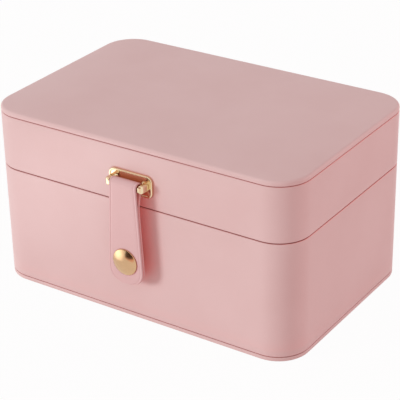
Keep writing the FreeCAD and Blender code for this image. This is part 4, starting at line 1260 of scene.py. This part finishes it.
def lathe_front(name, profile, height, finish):
    """Spins radius and reach-from-the-face about the snap's axis, closed at both ends."""
    rings = []
    for radius, out in profile:
        ring = []
        for step in range(LATHE_STEPS):
            angle = 2 * math.pi * step / LATHE_STEPS
            ring.append((radius * math.cos(angle), -half_depth - out,
                         height + radius * math.sin(angle)))
        rings.append(ring)
    return from_rings(name, rings, finish, cap_first=True, cap_last=True, smooth=35)


cap_radius = (cap_high.x - cap_low.x) / 2
cap_top = -half_depth - cap_low.y
strap_face = -half_depth - strap_low.y
CAP_EDGE = 0.75
CAP_ROLL = 0.38
CAP_SHANK = 1.8
CAP_UNDER = 0.9
EDGE_TURN = 150
EDGE_STEPS = 9
DOME_INSET = 0.3
DOME_RINGS = 14
dome = cap_top - strap_face - CAP_EDGE
dome_radius = cap_radius - DOME_INSET
# Shank through the strap, rolled edge, then the dome, which is a piece of a large sphere
cap_profile = [
    (CAP_SHANK, strap_face - 2.0), (CAP_SHANK, strap_face), (cap_radius - CAP_UNDER, strap_face),
]
for step in range(1, EDGE_STEPS):
    angle = math.radians(-90 + EDGE_TURN * step / EDGE_STEPS)
    cap_profile.append((cap_radius - CAP_ROLL + CAP_ROLL * math.cos(angle),
                        strap_face + CAP_ROLL + CAP_ROLL * math.sin(angle)))
sphere = (dome_radius ** 2 + dome ** 2) / (2 * dome)
# The steps stop short of the middle, where a small flat cap closes the dome
for step in (0.15, *range(1, DOME_RINGS + 1)):
    radius = dome_radius * (1 - step / (DOME_RINGS + 0.6))
    cap_profile.append((radius, cap_top - sphere + math.sqrt(sphere ** 2 - radius ** 2)))
snap_cap = lathe_front("snap_cap_gold", cap_profile, snap_height, satin_gold)
settle(snap_cap, "strap", "satin_gold", "snap_cap")
print("cap:", round(cap_radius * 2, 1), "mm across, dome", round(dome, 2))

# %% [markdown]
# The bridge is one small casting: a plate with a raised rim, two arms, and the bar inside
# the strap's fold. The plate is a round-cornered outline pushed out from the face. It could
# be a cube with a Bevel, but with rings the front edge and the sunk face come from one list
# of steps. Polished metal shows its edges as bright lines, so they are rounded.

# %% Bridge: plate
PLATE_THICK = 1.5
PLATE_CORNER = 3.5
PLATE_RIM = 1.1
PLATE_SINK = 0.35
PLATE_BEVEL = 0.45
BEVEL_STEPS = 4
plate_middle = (bridge_low.z + bridge_high.z) / 2
plate_half = Vector(((bridge_high.x - bridge_low.x) / 2, (bridge_high.z - bridge_low.z) / 2))


def plate_ring(inset, out):
    """The plate's outline at an inset and at a reach from the box's front."""
    half_x, half_z = plate_half.x - inset, plate_half.y - inset
    ring = outline(half_x, half_z, PLATE_CORNER - inset, front_steps=6, side_steps=4)
    return [(x, -half_depth - out, plate_middle + z) for x, z in ring]


plate_steps = [(0, 0)]
for step in range(BEVEL_STEPS + 1):
    angle = math.radians(90 * step / BEVEL_STEPS)
    plate_steps.append((PLATE_BEVEL * (1 - math.cos(angle)),
                        PLATE_THICK - PLATE_BEVEL + PLATE_BEVEL * math.sin(angle)))
plate_steps += [(PLATE_RIM - 0.15, PLATE_THICK), (PLATE_RIM, PLATE_THICK - 0.1),
                (PLATE_RIM + 0.1, PLATE_THICK - PLATE_SINK)]
plate_rings = [plate_ring(*step) for step in plate_steps]
bridge_plate = from_rings("bridge_plate", plate_rings, polished_gold,
                          cap_first=True, cap_last=True, smooth=50)
print("bridge plate", [round(value * 2, 1) for value in plate_half])

# %% [markdown]
# Each arm is a stack of rings too, from the plate outwards. It flares a little where it
# leaves the plate, and its outer side rounds over at the end. The bar is a plain round rod
# between the arms. The four are one casting, so they are joined into one piece.

# %% Bridge: arms and bar
ARM_SPREAD = 20.8
ARM_WIDTH = 3.0
ARM_TALL = 4.4
ARM_REACH = 7.6
ARM_ROUND = 2.0
ARM_SOFTEN = 0.9
ARM_CORNER = 1.1
ARM_FLARE = 1.5
FLARE_STEP = 0.2
ARM_END_STEPS = 8
BAR_RADIUS = 1.55
BAR_STEPS = 32
bridge_parts = [bridge_plate]


def arm_ring(side, out, inset, turn_in):
    """One level of an arm. Its outer side draws in more than the others, by turn_in."""
    outer = ARM_WIDTH / 2 - inset
    ring = outline(outer, ARM_TALL / 2 - inset, max(ARM_CORNER - inset, 0.1), 6, 6)
    flare = ARM_FLARE * max(0.0, 1 - (out - PLATE_THICK + PLATE_SINK) / ARM_FLARE) ** 2
    inner = ARM_SPREAD / 2 - outer - flare
    stretch = (ARM_WIDTH - inset - turn_in - inset + flare) / (outer * 2)
    return [(side * (inner + (x + outer) * stretch), -half_depth - out, bar.z + z) for x, z in ring]


for side in (-1, 1):
    levels = [(PLATE_THICK - PLATE_SINK + step * FLARE_STEP, 0.0, 0.0) for step in range(-1, 8)]
    for step in range(ARM_END_STEPS + 1):
        angle = math.radians(90 * step / ARM_END_STEPS)
        out = ARM_REACH - ARM_ROUND + ARM_ROUND * math.sin(angle)
        soften = ARM_SOFTEN * max(0.0, 1 - (ARM_REACH - out) / ARM_SOFTEN)
        levels.append((out, soften ** 2 / ARM_SOFTEN, ARM_ROUND * (1 - math.cos(angle))))
    rings = [arm_ring(side, *level) for level in levels]
    arm = from_rings("bridge_arm", rings, polished_gold, cap_first=True, cap_last=True, smooth=50)
    bridge_parts.append(arm)
bar_turn = [2 * math.pi * step / BAR_STEPS for step in range(BAR_STEPS)]
bar_rings = []
for x in (-ARM_SPREAD / 2, ARM_SPREAD / 2):
    bar_rings.append([
        (x, bar.y + BAR_RADIUS * math.cos(angle), bar.z + BAR_RADIUS * math.sin(angle))
        for angle in bar_turn
    ])
bridge_bar = from_rings("bridge_bar", bar_rings, polished_gold, cap_first=True, cap_last=True)
bridge_parts.append(bridge_bar)


def join(pieces, name):
    """Joins several objects into the first one."""
    with bpy.context.temp_override(active_object=pieces[0], selected_editable_objects=pieces):
        bpy.ops.object.join()
    pieces[0].name = name
    return face_outwards(pieces[0])


bridge = join(bridge_parts, "strap_bridge_gold")
settle(bridge, "lid", "polished_gold", "strap_bridge")
print("bridge:", len(bridge.data.vertices), "points")

# %% [markdown]
# The hinges, the hidden halves of the snap and the boards keep the model's own shape. They
# only get their finish. A node's material slot is replaced, and its mesh stays untouched.

# %% Finish of the model's own pieces
FINISH_OF_SLOT = {
    "polished_gold": polished_gold,
    "satin_gold": satin_gold,
    "grey_board": board,
    "mirror": mirror_silver,
    "velvet": lining_velvet,
    "velvet_roll": roll_velvet,
    "pink_sheet": box_skin,
    "pink_strap": strap_skin,
    "foam": foam,
}
for row in frame["record"]["subparts"]:
    piece = nodes[row["node"]]
    piece.data.materials.clear()
    piece.data.materials.append(FINISH_OF_SLOT[row["material_slot"]])
print("dressed", len(nodes), "nodes of the model")
